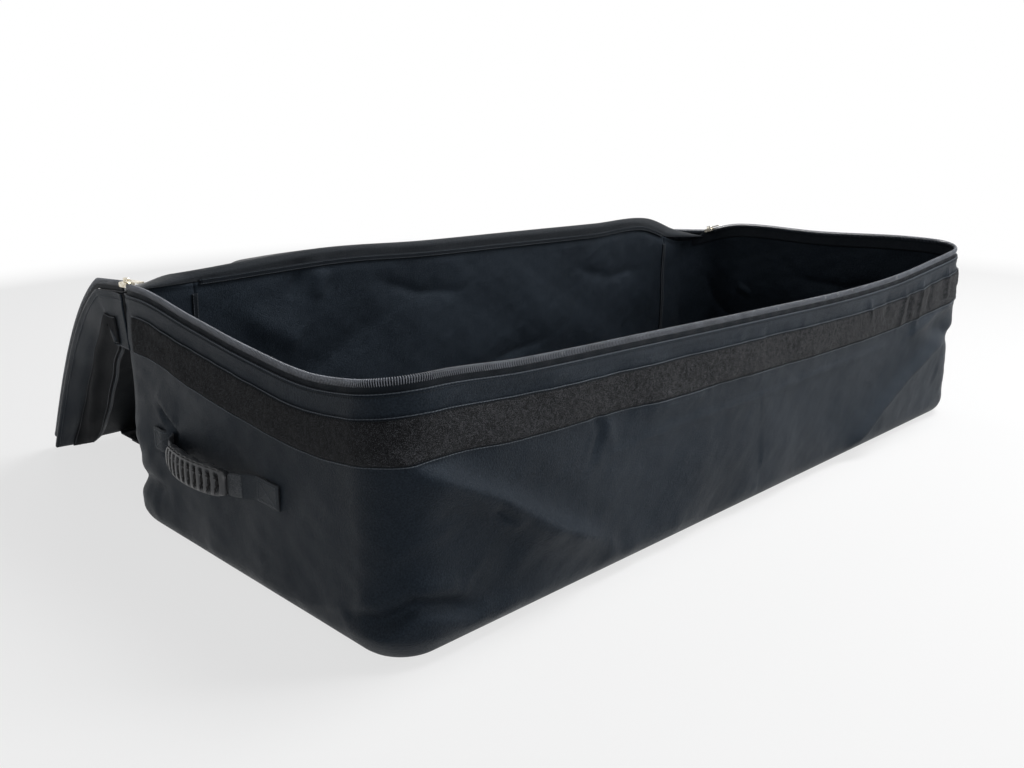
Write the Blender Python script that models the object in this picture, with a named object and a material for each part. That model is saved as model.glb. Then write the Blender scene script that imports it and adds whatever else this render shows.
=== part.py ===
"""Soft transit bag for a vehicle's roof or load bed: a long cloth tub with a zipped lid.

The bag stands open and empty. Its lid is thrown back over the rear wall and hangs to the floor.
Metres, +Z up, +X along the bag, the front wall at -Y. The origin is the middle of the underside.
"""
import math

import bmesh
import bpy
import numpy as np
from mathutils import Matrix, Vector

# Tub
LENGTH = 1.200
WIDTH = 0.540
CORNER_RADIUS = 0.055        # of the tub's upright corners
FLOOR_RADIUS = 0.026         # where the wall rolls under to the base
TURN_UNDER = 0.040           # how far the wall's cloth runs in under the bag
CLOTH = 0.0024               # coated cloth with its lining
SEAT = 0.0005                # clearance between pieces that are sewn face to face

# Height of the zip along the rim: side, place along that side, height above the floor
RIM_HEIGHTS = (
    ("rear", -0.10, 0.303), ("rear", -0.28, 0.312), ("rear", -0.50, 0.304),
    ("left", 0.19, 0.309), ("left", 0.08, 0.295), ("left", -0.04, 0.281), ("left", -0.15, 0.275),
    ("front", -0.56, 0.290), ("front", -0.43, 0.281), ("front", -0.25, 0.274), ("front", 0.00, 0.265),
    ("front", 0.21, 0.259), ("front", 0.36, 0.261), ("front", 0.50, 0.272),
    ("right", -0.20, 0.284), ("right", 0.00, 0.275), ("right", 0.17, 0.272),
    ("rear", 0.55, 0.246), ("rear", 0.42, 0.287), ("rear", 0.28, 0.291), ("rear", 0.06, 0.298),
)

# Large soft folds of the walls: side, two ends (place along the side, height), width, height of the fold
WALL_FOLDS = (
    ("front", (-0.590, 0.205), (-0.270, 0.040), 0.034, 0.006),
    ("front", (-0.560, 0.068), (-0.470, 0.072), 0.020, -0.009),
    ("front", (-0.560, 0.040), (-0.440, 0.046), 0.022, 0.007),
    ("front", (0.215, 0.005), (0.530, 0.170), 0.024, 0.007),
    ("front", (0.400, 0.185), (0.480, 0.150), 0.026, -0.006),
    ("front", (-0.180, 0.120), (0.180, 0.060), 0.060, 0.004),
    ("left", (0.150, 0.200), (0.215, 0.165), 0.030, -0.005),
    ("left", (0.190, 0.060), (0.235, 0.120), 0.026, -0.006),
    ("right", (-0.235, 0.190), (-0.205, 0.060), 0.024, 0.005),
    ("right", (-0.120, 0.045), (0.120, 0.055), 0.022, 0.005),
    ("right", (0.225, 0.170), (0.215, 0.050), 0.020, -0.005),
    ("rear", (-0.400, 0.060), (-0.180, 0.190), 0.050, 0.006),
    ("rear", (0.100, 0.180), (0.380, 0.050), 0.050, -0.006),
    ("rear", (-0.420, 0.235), (-0.330, 0.180), 0.026, -0.006),
)

FOLD_START = 0.3             # share of the floor radius below which the folds stop

# Zip
TAPE_STAND = 0.013           # from the wall's edge to the teeth's crest
TAPE_OVERLAP = 0.012         # the tape's sewn width, behind the wall's edge
TAPE_THICKNESS = 0.0012
COIL_HEIGHT = 0.0056
COIL_THICKNESS = 0.0042
SLIDER_LENGTH = 0.016
SLIDER_WIDTH = 0.0115
SLIDER_HEIGHT = 0.0060
SLIDER_EDGE = 0.0012
CROWN_WIDTH = 0.0024         # the bridge over the slider that holds the pull
CROWN_BAR = 0.0016
CROWN_WINDOW = 0.0066        # inside length of the bridge
CROWN_ROOM = 0.0032          # inside height of the bridge
PULL_LENGTH = 0.030
PULL_WIDTH = 0.0086
PULL_THICKNESS = 0.0015
PULL_SLOT_WIDTH = 0.0048
PULL_SLOT_LENGTH = 0.0085
PULL_BAR = 0.0016
PULL_ROUND = 0.0006          # radius of the pull's corners
SLIDER_ROOM = 0.0030         # between the slider and the teeth
ZIP_END_ANGLE = 22           # degrees round the rear corner from the end wall to the slider
SLIDER_YAW = 8               # degrees that the slider is turned in from the end wall's line

# Loop strip on three sides, under the lid's skirt when the bag is shut
STRIP_BELOW_EDGE = 0.0235
STRIP_WIDTH = 0.044
STRIP_THICKNESS = 0.0018
STRIP_END = 0.212            # how far back the strip runs along the end walls

# Seams
REAR_SEAM_INSET = 0.110      # from the tub's end to where the wall band meets the rear panel
REAR_RISE = 0.020            # lid cloth that stands above its seam in the middle of the rear wall
REAR_RISE_HALF = 0.270       # half the length over which it stands that far
SEAM_TAPE_ROOM = 0.0006      # between an upright seam's binding and the wall's cloth
BINDING_WIDTH = 0.008
BINDING_THICKNESS = 0.0010
HEM_DEPTH = 0.013

# Lid, thrown back
LID_FOLD_RADIUS = 0.008      # over the top of the rear wall
LID_THROW = 0.318            # from the rear wall to its front edge on the floor
LID_HANG = 0.460             # length of cloth from the fold to that edge
LID_START_SLOPE = 14         # degrees below level, just behind the rear wall
LID_END_SLOPE = 55           # degrees below level, at the floor
LID_STIFFNESS = 0.14         # length over which the cloth bends down
LID_LEAN = 0.029             # how much each side edge draws in by the time it reaches the floor
LID_FLOOR = 0.0085           # height of the front edge over the floor
LID_WAVES = 3
LID_WAVE_HEIGHT = 0.012
LID_WAVE_PHASE = 0.6         # radians
LID_WAVE_WAY = (0.8, 0.6)    # the way that the waves swell: back, up
LID_WAVE_FADE = 0.25         # share of the half width over which they fade at each side
LID_SIDE_INSET = 0.003       # the lid's edge, inside the tub's end wall
LID_FOLD_ROWS = ((40, 0.12), (80, 0.55))    # degrees round the fold, share of the spread to full width
LID_TAPE_INSET = 0.002
LID_CORNER = 0.975           # share of the side and front edges where the zip turns the corner
SKIRT_DEPTH = 0.085
SKIRT_THICKNESS = 0.0020
SKIRT_CORNER = 0.100         # from the front skirt's end to the lid's side edge
SKIRT_START = 0.035          # share of the side edge where the skirt begins, behind the tub's corner
SKIRT_FREE = 0.25            # share from which it hangs square to the lid
SKIRT_TURN = 86              # degrees that it has folded in under the lid at the floor
SKIRT_TURN_RATE = 2.4
SKIRT_NEAR = (0.002, 0.021)  # from its first fold in to the tub's corner: across, then along the bag's side
HOOK_FROM_HEM = 0.005
HOOK_WIDTH = 0.045
HOOK_THICKNESS = 0.0014

# Carry handle on each end wall
HANDLE_CENTRE = 0.045        # along the end wall, towards the rear
HANDLE_HEIGHT = 0.131
HANDLE_HALF_SPAN = 0.079     # from the handle's middle to the line where its webbing bends
ROOT_STAND = 0.0120          # how far that line stands off the wall
STRAP_WIDTH = 0.026
STRAP_THICKNESS = 0.0024
STRAP_BOW = 0.028            # how far the middle stands off the wall
ANCHOR_LENGTH = 0.042
ANCHOR_WIDTH = 0.028
ANCHOR_THICKNESS = 0.0030
GRIP_LENGTH = 0.124
GRIP_HEIGHT = 0.032
GRIP_THICKNESS = 0.018
GRIP_END_SCALE = 0.72
GRIP_SLOT_ROOM = 0.0010      # round the webbing inside the grip
GRIP_WALL = 0.0022           # least rubber round the slot
GRIP_SQUARE = 0.7            # power of the grip's section: 1 is an ellipse, less is squarer
SLOT_SQUARE = (3.0, 1.3)     # how far the slot's section is squared, across and up
ROOT_RUN = 0.014             # along the wall from the bend line to the sewn square
ROOT_CURL = 0.45             # where the root's curve is sampled, as a share of its rise and its run

# Mesh fineness
FRONT_STEPS = 42
END_STEPS = 13               # along the end walls, in front of the loop strip's end
REST_STEPS = 1                # along the end walls, behind it
CORNER_STEPS = 5
REAR_STEPS = 24
WALL_STEPS = 7
FLOOR_STEPS = 3
LID_STEPS_DOWN = 10
GRIP_STEPS = 10
GRIP_SIDES = 12
COIL_SIDES = 6
SKIRT_STEPS_DOWN = 12
SKIRT_STEPS_ACROSS = 12
JOIN_STEPS = 3
LEAST_COLUMN = 0.004         # narrowest column of the wall
NORMAL_STEP = 0.02           # share of the side edge over which its direction is taken
SIDE_JOIN = 1 / LID_STEPS_DOWN    # share of the side edge over which the zip runs from the slider to the lid


def smooth(t):
    """Ease from 0 to 1."""
    t = np.clip(t, 0.0, 1.0)
    return t * t * (3.0 - 2.0 * t)


HALF_LENGTH = LENGTH / 2
REAR_SEAM_X = HALF_LENGTH - REAR_SEAM_INSET
HALF_WIDTH = WIDTH / 2
LID_REACH = HALF_WIDTH + LID_THROW
FLAT_X = HALF_LENGTH - CORNER_RADIUS
FLAT_Y = HALF_WIDTH - CORNER_RADIUS
ARC = CORNER_RADIUS * math.pi / 2

# Arc length round the plan, from the middle of the rear wall to the left, front and right
TO_REAR_LEFT = FLAT_X
TO_LEFT = TO_REAR_LEFT + ARC
TO_FRONT_LEFT = TO_LEFT + 2 * FLAT_Y
TO_FRONT = TO_FRONT_LEFT + ARC
TO_FRONT_RIGHT = TO_FRONT + 2 * FLAT_X
TO_RIGHT = TO_FRONT_RIGHT + ARC
TO_REAR_RIGHT = TO_RIGHT + 2 * FLAT_Y
TO_REAR = TO_REAR_RIGHT + ARC
ROUND = TO_REAR + FLAT_X


def arc_at(side, place):
    """Arc length of a place on one side: x on the front and rear walls, y on the end walls."""
    if side == "front":
        return TO_FRONT + place + FLAT_X
    if side == "left":
        return TO_LEFT + FLAT_Y - place
    if side == "right":
        return TO_RIGHT + place + FLAT_Y
    return (ROUND - place) if place > 0 else -place


def outline(s):
    """Point and outward normal of the tub's plan at arc length s."""
    s = s % ROUND
    if s < TO_REAR_LEFT:
        return np.array((-s, HALF_WIDTH)), np.array((0.0, 1.0))
    if s > TO_REAR:
        return np.array((ROUND - s, HALF_WIDTH)), np.array((0.0, 1.0))
    corners = (
        (TO_REAR_LEFT, TO_LEFT, (-FLAT_X, FLAT_Y), 90),
        (TO_FRONT_LEFT, TO_FRONT, (-FLAT_X, -FLAT_Y), 180),
        (TO_FRONT_RIGHT, TO_RIGHT, (FLAT_X, -FLAT_Y), 270),
        (TO_REAR_RIGHT, TO_REAR, (FLAT_X, FLAT_Y), 0),
    )
    for start, end, centre, angle in corners:
        if start <= s <= end:
            turn = math.radians(angle) + (s - start) / CORNER_RADIUS
            normal = np.array((math.cos(turn), math.sin(turn)))
            return np.array(centre) + CORNER_RADIUS * normal, normal
    if s < TO_FRONT_LEFT:
        return np.array((-HALF_LENGTH, FLAT_Y - (s - TO_LEFT))), np.array((-1.0, 0.0))
    if s < TO_FRONT_RIGHT:
        return np.array((s - TO_FRONT - FLAT_X, -HALF_WIDTH)), np.array((0.0, -1.0))
    return np.array((HALF_LENGTH, s - TO_RIGHT - FLAT_Y)), np.array((1.0, 0.0))


RIM_KNOTS = sorted((arc_at(side, place), height) for side, place, height in RIM_HEIGHTS)


def rim(s):
    """Height of the zip's crest, a smooth closed curve through the rim's heights."""
    s = s % ROUND
    arcs = [knot[0] for knot in RIM_KNOTS]
    heights = [knot[1] for knot in RIM_KNOTS]
    arcs = [arcs[-2] - ROUND, arcs[-1] - ROUND] + arcs + [arcs[0] + ROUND, arcs[1] + ROUND]
    heights = heights[-2:] + heights + heights[:2]
    i = next(k for k in range(1, len(arcs) - 2) if arcs[k] <= s <= arcs[k + 1])
    span = arcs[i + 1] - arcs[i]
    t = (s - arcs[i]) / span
    slope_in = (heights[i + 1] - heights[i - 1]) / (arcs[i + 1] - arcs[i - 1]) * span
    slope_out = (heights[i + 2] - heights[i]) / (arcs[i + 2] - arcs[i]) * span
    return ((2 * t**3 - 3 * t**2 + 1) * heights[i] + (t**3 - 2 * t**2 + t) * slope_in
            + (3 * t**2 - 2 * t**3) * heights[i + 1] + (t**3 - t**2) * slope_out)


def rear_rise(x):
    """How far the lid's cloth stands above its seam, at x along the rear wall."""
    toward_corner = (abs(x) - REAR_RISE_HALF) / (FLAT_X - REAR_RISE_HALF)
    return REAR_RISE + (TAPE_STAND - REAR_RISE) * smooth(toward_corner)


def wall_edge(s):
    """Height of the wall's top edge: below the zip, or below the lid's fold at the rear."""
    s = s % ROUND
    if s < TO_REAR_LEFT or s > TO_REAR:
        return rim(s) - rear_rise(outline(s)[0][0])
    return rim(s) - TAPE_STAND


def fold_push(s, z):
    """Sum of the large folds at arc length s and height z, outward."""
    push = 0.0
    for side, start, end, width, height in WALL_FOLDS:
        a = np.array((arc_at(side, start[0]), start[1]))
        b = np.array((arc_at(side, end[0]), end[1]))
        place = np.array((s, z))
        along = float(np.dot(place - a, b - a) / np.dot(b - a, b - a))
        foot = a + (b - a) * min(max(along, 0.0), 1.0)
        gap = float(np.linalg.norm(place - foot))
        push += height * math.exp(-((gap / width) ** 2))
    return push


def wall_push(s, z):
    """Outward displacement of the wall from its plan: the folds, eased out at the floor and the edge."""
    edge = wall_edge(s)
    band = edge - STRIP_BELOW_EDGE
    ease = smooth(z / FLOOR_RADIUS - FOLD_START) * smooth((edge - z) / (edge - band + STRIP_WIDTH))
    return float(ease) * fold_push(s % ROUND, z)


def wall_levels(s):
    """Rows of the wall at arc length s, from its inner edge under the bag to its top edge: inset, height."""
    levels = [(TURN_UNDER, 0.0)]
    for k in range(FLOOR_STEPS + 1):
        angle = math.pi / 2 * k / FLOOR_STEPS
        levels.append((FLOOR_RADIUS * (1 - math.sin(angle)), FLOOR_RADIUS * (1 - math.cos(angle))))
    edge = wall_edge(s)
    strip_low = edge - STRIP_BELOW_EDGE - STRIP_WIDTH
    for k in range(1, WALL_STEPS + 1):
        levels.append((0.0, FLOOR_RADIUS + (strip_low - FLOOR_RADIUS) * k / WALL_STEPS))
    levels.append((0.0, strip_low + STRIP_WIDTH / 2))
    levels.append((0.0, strip_low + STRIP_WIDTH))
    levels.append((0.0, edge - HEM_DEPTH))
    levels.append((0.0, edge))
    return levels


STRIP_ROW = 1 + FLOOR_STEPS + WALL_STEPS          # the row along the loop strip's lower edge
EDGE_ROW = STRIP_ROW + 4


def wall_point(s, level, out=0.0):
    """Point of the wall's outer face at arc length s and one of its levels, moved out by out."""
    inset, height = level
    plan, normal = outline(s)
    x, y = plan + normal * (wall_push(s, height) - inset + out)
    return (x, y, height)


STRIP_START = arc_at("left", STRIP_END)
STRIP_FINISH = arc_at("right", STRIP_END)


def stations(start, end):
    """Arc lengths of the wall's columns between two arc lengths, fine round the corners."""
    runs = (
        (-FLAT_X, TO_REAR_LEFT, REAR_STEPS), (TO_REAR_LEFT, TO_LEFT, CORNER_STEPS),
        (TO_LEFT, STRIP_START, REST_STEPS), (STRIP_START, TO_FRONT_LEFT, END_STEPS),
        (TO_FRONT_LEFT, TO_FRONT, CORNER_STEPS), (TO_FRONT, TO_FRONT_RIGHT, FRONT_STEPS),
        (TO_FRONT_RIGHT, TO_RIGHT, CORNER_STEPS), (TO_RIGHT, STRIP_FINISH, END_STEPS),
        (STRIP_FINISH, TO_REAR_RIGHT, REST_STEPS), (TO_REAR_RIGHT, TO_REAR, CORNER_STEPS),
        (TO_REAR, TO_REAR + 2 * FLAT_X, REAR_STEPS),
    )
    marks = [low + (high - low) * k / count for low, high, count in runs for k in range(count)]
    inside = [mark for mark in marks if start + LEAST_COLUMN < mark < end - LEAST_COLUMN]
    return [start] + inside + [end]


def wall_grid(start, end, rows=None, out=0.0):
    """Grid of points on the wall's outer face: one row per level, one column per station."""
    columns = []
    for s in stations(start, end):
        levels = wall_levels(s)
        columns.append([wall_point(s, level, out) for level in (levels[rows] if rows else levels)])
    return np.array(columns).transpose(1, 0, 2)


def material(name, colour, roughness, metallic=0.0):
    """Principled material, made once for each name."""
    found = bpy.data.materials.get(name)
    if found:
        return found
    made = bpy.data.materials.new(name)
    made.use_nodes = True
    shader = made.node_tree.nodes["Principled BSDF"]
    shader.inputs["Base Color"].default_value = (*colour, 1.0)
    shader.inputs["Roughness"].default_value = roughness
    shader.inputs["Metallic"].default_value = metallic
    return made


def place_object(name, mesh, finish, origin=(0.0, 0.0, 0.0)):
    """Add a mesh to the scene as an object whose origin is at the given point."""
    for vertex in mesh.vertices:
        vertex.co -= Vector(origin)
    mesh.materials.append(finish)
    made = bpy.data.objects.new(name, mesh)
    made.location = origin
    bpy.context.collection.objects.link(made)
    return made


def mesh_from(name, points, faces):
    """Mesh of points and faces, with its face directions made consistent."""
    mesh = bpy.data.meshes.new(name)
    work = bmesh.new()
    corners = [work.verts.new(point) for point in points]
    for face in faces:
        work.faces.new([corners[k] for k in face])
    bmesh.ops.recalc_face_normals(work, faces=work.faces)
    work.to_mesh(mesh)
    work.free()
    return mesh


def grid_normals(grid, closed=False):
    """Unit normals of a grid of points, rows going up and columns going round."""
    if closed:
        across = np.roll(grid, -1, axis=1) - np.roll(grid, 1, axis=1)
    else:
        across = np.gradient(grid, axis=1)
    up = np.gradient(grid, axis=0)
    normal = np.cross(across, up)
    return normal / np.linalg.norm(normal, axis=2, keepdims=True)


def sheet(name, grid, thickness, finish, closed=False):
    """Closed body of even thickness whose outer face is the grid. It grows against the grid's normals."""
    rows, columns, _ = grid.shape
    inner = grid - grid_normals(grid, closed) * thickness
    points = np.concatenate((grid.reshape(-1, 3), inner.reshape(-1, 3)))
    back = rows * columns

    def at(row, column):
        return row * columns + column % columns

    faces = []
    last = columns if closed else columns - 1
    for i in range(rows - 1):
        for j in range(last):
            for far in (at(i, j + 1), at(i + 1, j)):
                triangle = (at(i, j), far, at(i + 1, j + 1))
                faces.append(triangle)
                faces.append(tuple(back + k for k in triangle))
    for j in range(last):
        for row in (0, rows - 1):
            faces.append((at(row, j), at(row, j + 1), back + at(row, j + 1), back + at(row, j)))
    if not closed:
        for i in range(rows - 1):
            for column in (0, columns - 1):
                faces.append((at(i, column), at(i + 1, column), back + at(i + 1, column), back + at(i, column)))
    return place_object(name, mesh_from(name, points.tolist(), faces), finish)


def sweep_points(centres, sides, ups, section):
    """Points of a section carried along a path: one ring for each centre."""
    rings = []
    for k, centre in enumerate(centres):
        across = np.array(sides[k])
        rise = np.array(ups[k])
        rings.append([np.array(centre) + across * a + rise * b for a, b in section])
    return rings


def tube_faces(rings, count):
    """Faces of a capped tube."""
    faces = [tuple(range(count)), tuple((rings - 1) * count + k for k in range(count))]
    for i in range(rings - 1):
        for k in range(count):
            here = i * count + k
            beside = i * count + (k + 1) % count
            faces.append((here, beside, beside + count, here + count))
    return faces


def sweep(name, centres, sides, ups, section, finish, origin=(0.0, 0.0, 0.0)):
    """Capped tube: a section carried along a path."""
    rings = sweep_points(centres, sides, ups, section)
    points = [point.tolist() for ring in rings for point in ring]
    mesh = mesh_from(name, points, tube_faces(len(rings), len(section)))
    return place_object(name, mesh, finish, origin)


def rectangle(width, height):
    """Section corners, centred."""
    return [(-width / 2, -height / 2), (width / 2, -height / 2), (width / 2, height / 2), (-width / 2, height / 2)]


def ellipse(width, height, count):
    """Section corners on an ellipse, centred."""
    turns = [2 * math.pi * (k + 0.5) / count for k in range(count)]
    return [(width / 2 * math.cos(t), height / 2 * math.sin(t)) for t in turns]


def black_cloth():
    return material("black_cloth", (0.020, 0.022, 0.027), 0.62)


def zip_black():
    return material("zip_black", (0.016, 0.016, 0.018), 0.45)


def loop_black():
    return material("loop_black", (0.028, 0.028, 0.030), 0.95)


def webbing():
    return material("webbing", (0.030, 0.031, 0.034), 0.80)


def grip_rubber():
    return material("grip_rubber", (0.035, 0.035, 0.037), 0.55)


def zip_metal():
    return material("zip_metal", (0.55, 0.50, 0.40), 0.32, 1.0)


REAR_LEFT_SEAM = arc_at("rear", -REAR_SEAM_X)
REAR_RIGHT_SEAM = arc_at("rear", REAR_SEAM_X)


def build_walls():
    """Wall band round the front and both ends, and the rear panel between its two seams."""
    sheet("wall_band", wall_grid(REAR_LEFT_SEAM + SEAT / 2, REAR_RIGHT_SEAM - SEAT / 2), CLOTH, black_cloth())
    sheet("rear_panel", wall_grid(-REAR_SEAM_X + SEAT / 2, REAR_SEAM_X - SEAT / 2), CLOTH, black_cloth())


def plan_loop(inset, height):
    """Closed outline of the tub's plan, moved in by inset, at a height."""
    loop = []
    for s in stations(0.0, ROUND)[:-1]:
        plan, normal = outline(s)
        x, y = plan - normal * inset
        loop.append((x, y, height))
    return loop


def build_base():
    """Base panel inside the turned-under wall, and the binding over their seam."""
    low = plan_loop(TURN_UNDER + SEAT, 0.0)
    high = [(x, y, CLOTH) for x, y, _ in low]
    count = len(low)
    faces = [tuple(range(count)), tuple(range(count, 2 * count))]
    for k in range(count):
        beside = (k + 1) % count
        faces.append((k, beside, count + beside, count + k))
    place_object("base_panel", mesh_from("base_panel", low + high, faces), black_cloth())
    height = CLOTH + SEAT + BINDING_THICKNESS
    outer = plan_loop(TURN_UNDER + SEAT / 2 - BINDING_WIDTH / 2, height)
    inner = plan_loop(TURN_UNDER + SEAT / 2 + BINDING_WIDTH / 2, height)
    sheet("base_binding", np.array((outer, inner)), BINDING_THICKNESS, webbing(), closed=True)


def inside_wall(grid, depth):
    """The grid moved in from the wall's outer face, past its cloth."""
    return grid - grid_normals(grid) * depth


def build_seam_tapes():
    """Upright bindings inside the two rear seams."""
    for name, middle in (("seam_tape_left", REAR_LEFT_SEAM), ("seam_tape_right", REAR_RIGHT_SEAM)):
        columns = []
        for s in (middle - BINDING_WIDTH / 2, middle, middle + BINDING_WIDTH / 2):
            levels = wall_levels(s)[2 + FLOOR_STEPS:EDGE_ROW]
            columns.append([wall_point(s, level) for level in levels])
        grid = np.array(columns).transpose(1, 0, 2)
        sheet(name, inside_wall(grid, CLOTH + SEAM_TAPE_ROOM), BINDING_THICKNESS, webbing())


ZIP_START = TO_LEFT - math.radians(ZIP_END_ANGLE) * CORNER_RADIUS
ZIP_END = TO_REAR_RIGHT + math.radians(ZIP_END_ANGLE) * CORNER_RADIUS


def build_tub_zip():
    """Zip tape behind the wall's edge, and the row of teeth along its crest."""
    tape_in = CLOTH + SEAT
    columns = []
    for s in stations(TO_REAR_LEFT, TO_REAR):
        plan, normal = outline(s)
        edge = wall_edge(s)
        crest = rim(s) - COIL_HEIGHT - SEAT
        column = []
        for height in (edge - TAPE_OVERLAP, edge - TAPE_OVERLAP / 2, crest):
            x, y = plan + normal * (wall_push(s, min(height, edge)) - tape_in)
            column.append((x, y, height))
        columns.append(column)
    sheet("tub_zip_tape", np.array(columns).transpose(1, 0, 2), TAPE_THICKNESS, webbing())

    centres, sides = [], []
    clear = SLIDER_LENGTH / 2 + SLIDER_ROOM
    for s in stations(ZIP_START + clear, ZIP_END - clear):
        plan, normal = outline(s)
        x, y = plan - normal * (tape_in + TAPE_THICKNESS / 2)
        centres.append((x, y, rim(s) - COIL_HEIGHT / 2))
        sides.append((normal[0], normal[1], 0.0))
    ups = [(0.0, 0.0, 1.0)] * len(centres)
    sweep("tub_zip_coil", centres, sides, ups, ellipse(COIL_THICKNESS, COIL_HEIGHT, COIL_SIDES), zip_black())


def build_loop_strip():
    """Loop strip sewn on the wall's outer face, round the front and both ends."""
    rows = slice(STRIP_ROW, STRIP_ROW + 3)
    grid = wall_grid(STRIP_START, STRIP_FINISH, rows)
    grid = grid + grid_normals(grid) * (SEAT + STRIP_THICKNESS)
    sheet("loop_strip", grid, STRIP_THICKNESS, loop_black())


def lid_directions():
    """Path of the hanging lid at even steps of its length: shares of its way across and down."""
    steps = 60
    angles = [LID_END_SLOPE - (LID_END_SLOPE - LID_START_SLOPE) * math.exp(-LID_HANG * k / steps / LID_STIFFNESS)
              for k in range(steps)]
    y = np.concatenate(([0.0], np.cumsum([math.cos(math.radians(a)) for a in angles])))
    z = np.concatenate(([0.0], np.cumsum([math.sin(math.radians(a)) for a in angles])))
    return y / y[-1], z / z[-1]


LID_Y, LID_Z = lid_directions()


def lid_row(t):
    """Share of the lid's fall at share t of its hanging length: across, down."""
    places = np.linspace(0.0, 1.0, len(LID_Y))
    return float(np.interp(t, places, LID_Y)), float(np.interp(t, places, LID_Z))


def lid_half_width(t):
    """Half the lid's width at share t of its hanging length. Its sides draw in towards the floor."""
    return HALF_LENGTH - LID_SIDE_INSET - LID_LEAN * t


def lid_point(u, t):
    """Point of the hanging lid's inner face at share u across and share t down."""
    crest = rim(arc_at("rear", u * FLAT_X))
    start_y = HALF_WIDTH + LID_FOLD_RADIUS - CLOTH
    across, down = lid_row(t)
    y = start_y + (LID_REACH - start_y) * across
    z = crest + (LID_FLOOR - crest) * down
    swell = LID_WAVE_HEIGHT * math.sin(math.pi * t) * math.sin(LID_WAVES * math.pi * u + LID_WAVE_PHASE)
    swell *= smooth((1.0 - abs(u)) / LID_WAVE_FADE)
    return np.array((u * lid_half_width(t), y + LID_WAVE_WAY[0] * swell, z + LID_WAVE_WAY[1] * swell))


def lid_grid():
    """Grid of the lid's inner face: up from its seam, over the fold, and down to the floor."""
    shares = [-1 + 2 * k / REAR_STEPS for k in range(REAR_STEPS + 1)]
    columns = []
    seam_y = HALF_WIDTH - CLOTH
    for u in shares:
        x = u * FLAT_X
        s = arc_at("rear", x)
        crest = rim(s)
        column = [(x, seam_y, wall_edge(s) + SEAT), (x, seam_y, crest - LID_FOLD_RADIUS)]
        for angle, spread in LID_FOLD_ROWS:
            turn = math.radians(angle)
            wide = FLAT_X + (lid_half_width(0.0) - FLAT_X) * spread
            column.append((u * wide, seam_y + LID_FOLD_RADIUS * (1 - math.cos(turn)),
                           crest - LID_FOLD_RADIUS * (1 - math.sin(turn))))
        for k in range(1, LID_STEPS_DOWN + 1):
            column.append(tuple(lid_point(u, k / LID_STEPS_DOWN)))
        columns.append(column)
    return np.array(columns).transpose(1, 0, 2)


def build_lid():
    """Lid panel and the binding that covers its seam inside the rear wall."""
    sheet("lid_panel", lid_grid(), CLOTH, black_cloth())
    columns = []
    for s in stations(-REAR_SEAM_X + BINDING_WIDTH, REAR_SEAM_X - BINDING_WIDTH):
        plan, normal = outline(s)
        x, y = plan - normal * (CLOTH + 2 * SEAT)
        edge = wall_edge(s)
        columns.append([(x, y, edge - BINDING_WIDTH / 2), (x, y, edge + BINDING_WIDTH / 2)])
    grid = np.array(columns).transpose(1, 0, 2)
    sheet("rear_seam_binding", grid, BINDING_THICKNESS, webbing())


def slider_frame(mirror):
    """Centre of a slider and the direction that it points in, along the rim. mirror is -1 left, 1 right."""
    s = ZIP_START if mirror < 0 else ZIP_END
    plan, normal = outline(s)
    x, y = plan - normal * (CLOTH + SEAT + TAPE_THICKNESS / 2)
    yaw = math.radians(SLIDER_YAW)
    climb = (rim(s - mirror * PULL_LENGTH) - rim(s)) / PULL_LENGTH
    ahead = np.array((-mirror * math.sin(yaw), -math.cos(yaw), climb))
    return np.array((x, y, rim(s) - COIL_HEIGHT / 2 + 2 * SEAT)), ahead / np.linalg.norm(ahead)


def side_edge(mirror, t):
    """Edge line of the lid's side: from the slider over the corner at t = 0, then down the lid's edge."""
    if t >= SIDE_JOIN:
        return lid_point(mirror, t)
    centre, ahead = slider_frame(mirror)
    start = centre - ahead * (SLIDER_LENGTH / 2 + SLIDER_ROOM)
    start[2] += COIL_HEIGHT / 2 - TAPE_STAND
    return start + (lid_point(mirror, SIDE_JOIN) - start) * (t / SIDE_JOIN)


def side_normal(mirror, t):
    """Direction that the lid's inner face looks in along its side edge."""
    low = max(t - NORMAL_STEP, 0.0)
    high = min(t + NORMAL_STEP, 1.0)
    along = side_edge(mirror, high) - side_edge(mirror, low)
    slope = math.atan2(-along[2], along[1])
    return np.array((0.0, math.sin(slope), math.cos(slope)))


def lid_edge_path():
    """Zip line of the lid: down its left side, along the front, up its right side. Point, normal, inward."""
    path = []
    down = [SIDE_JOIN * k / JOIN_STEPS for k in range(JOIN_STEPS)]
    down += [k / LID_STEPS_DOWN for k in range(1, LID_STEPS_DOWN)] + [LID_CORNER]
    for t in down:
        path.append((side_edge(-1, t), side_normal(-1, t), np.array((1.0, 0.0, 0.0))))
    last = side_normal(-1, 1.0)
    up_slope = np.array((0.0, -last[2], last[1]))
    for k in range(1, REAR_STEPS // 2):
        path.append((lid_point(-1 + 4 * k / REAR_STEPS, 1.0), last, up_slope))
    for t in reversed(down):
        path.append((side_edge(1, t), side_normal(1, t), np.array((-1.0, 0.0, 0.0))))
    return path


def build_lid_zip():
    """The lid's half of the zip, which stands up from the inner face along three edges."""
    path = lid_edge_path()
    low, high, centres, sides, ups = [], [], [], [], []
    for point, normal, inward in path:
        foot = point + inward * LID_TAPE_INSET
        low.append(foot + normal * 2 * SEAT)
        high.append(foot + normal * (TAPE_STAND - COIL_HEIGHT - SEAT))
        centres.append(foot + inward * TAPE_THICKNESS / 2 + normal * (TAPE_STAND - COIL_HEIGHT / 2))
        sides.append(inward)
        ups.append(normal)
    sheet("lid_zip_tape", np.array((low, high)), TAPE_THICKNESS, webbing())
    section = ellipse(COIL_THICKNESS, COIL_HEIGHT, COIL_SIDES)
    sweep("lid_zip_coil", centres, sides, ups, section, zip_black())


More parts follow.
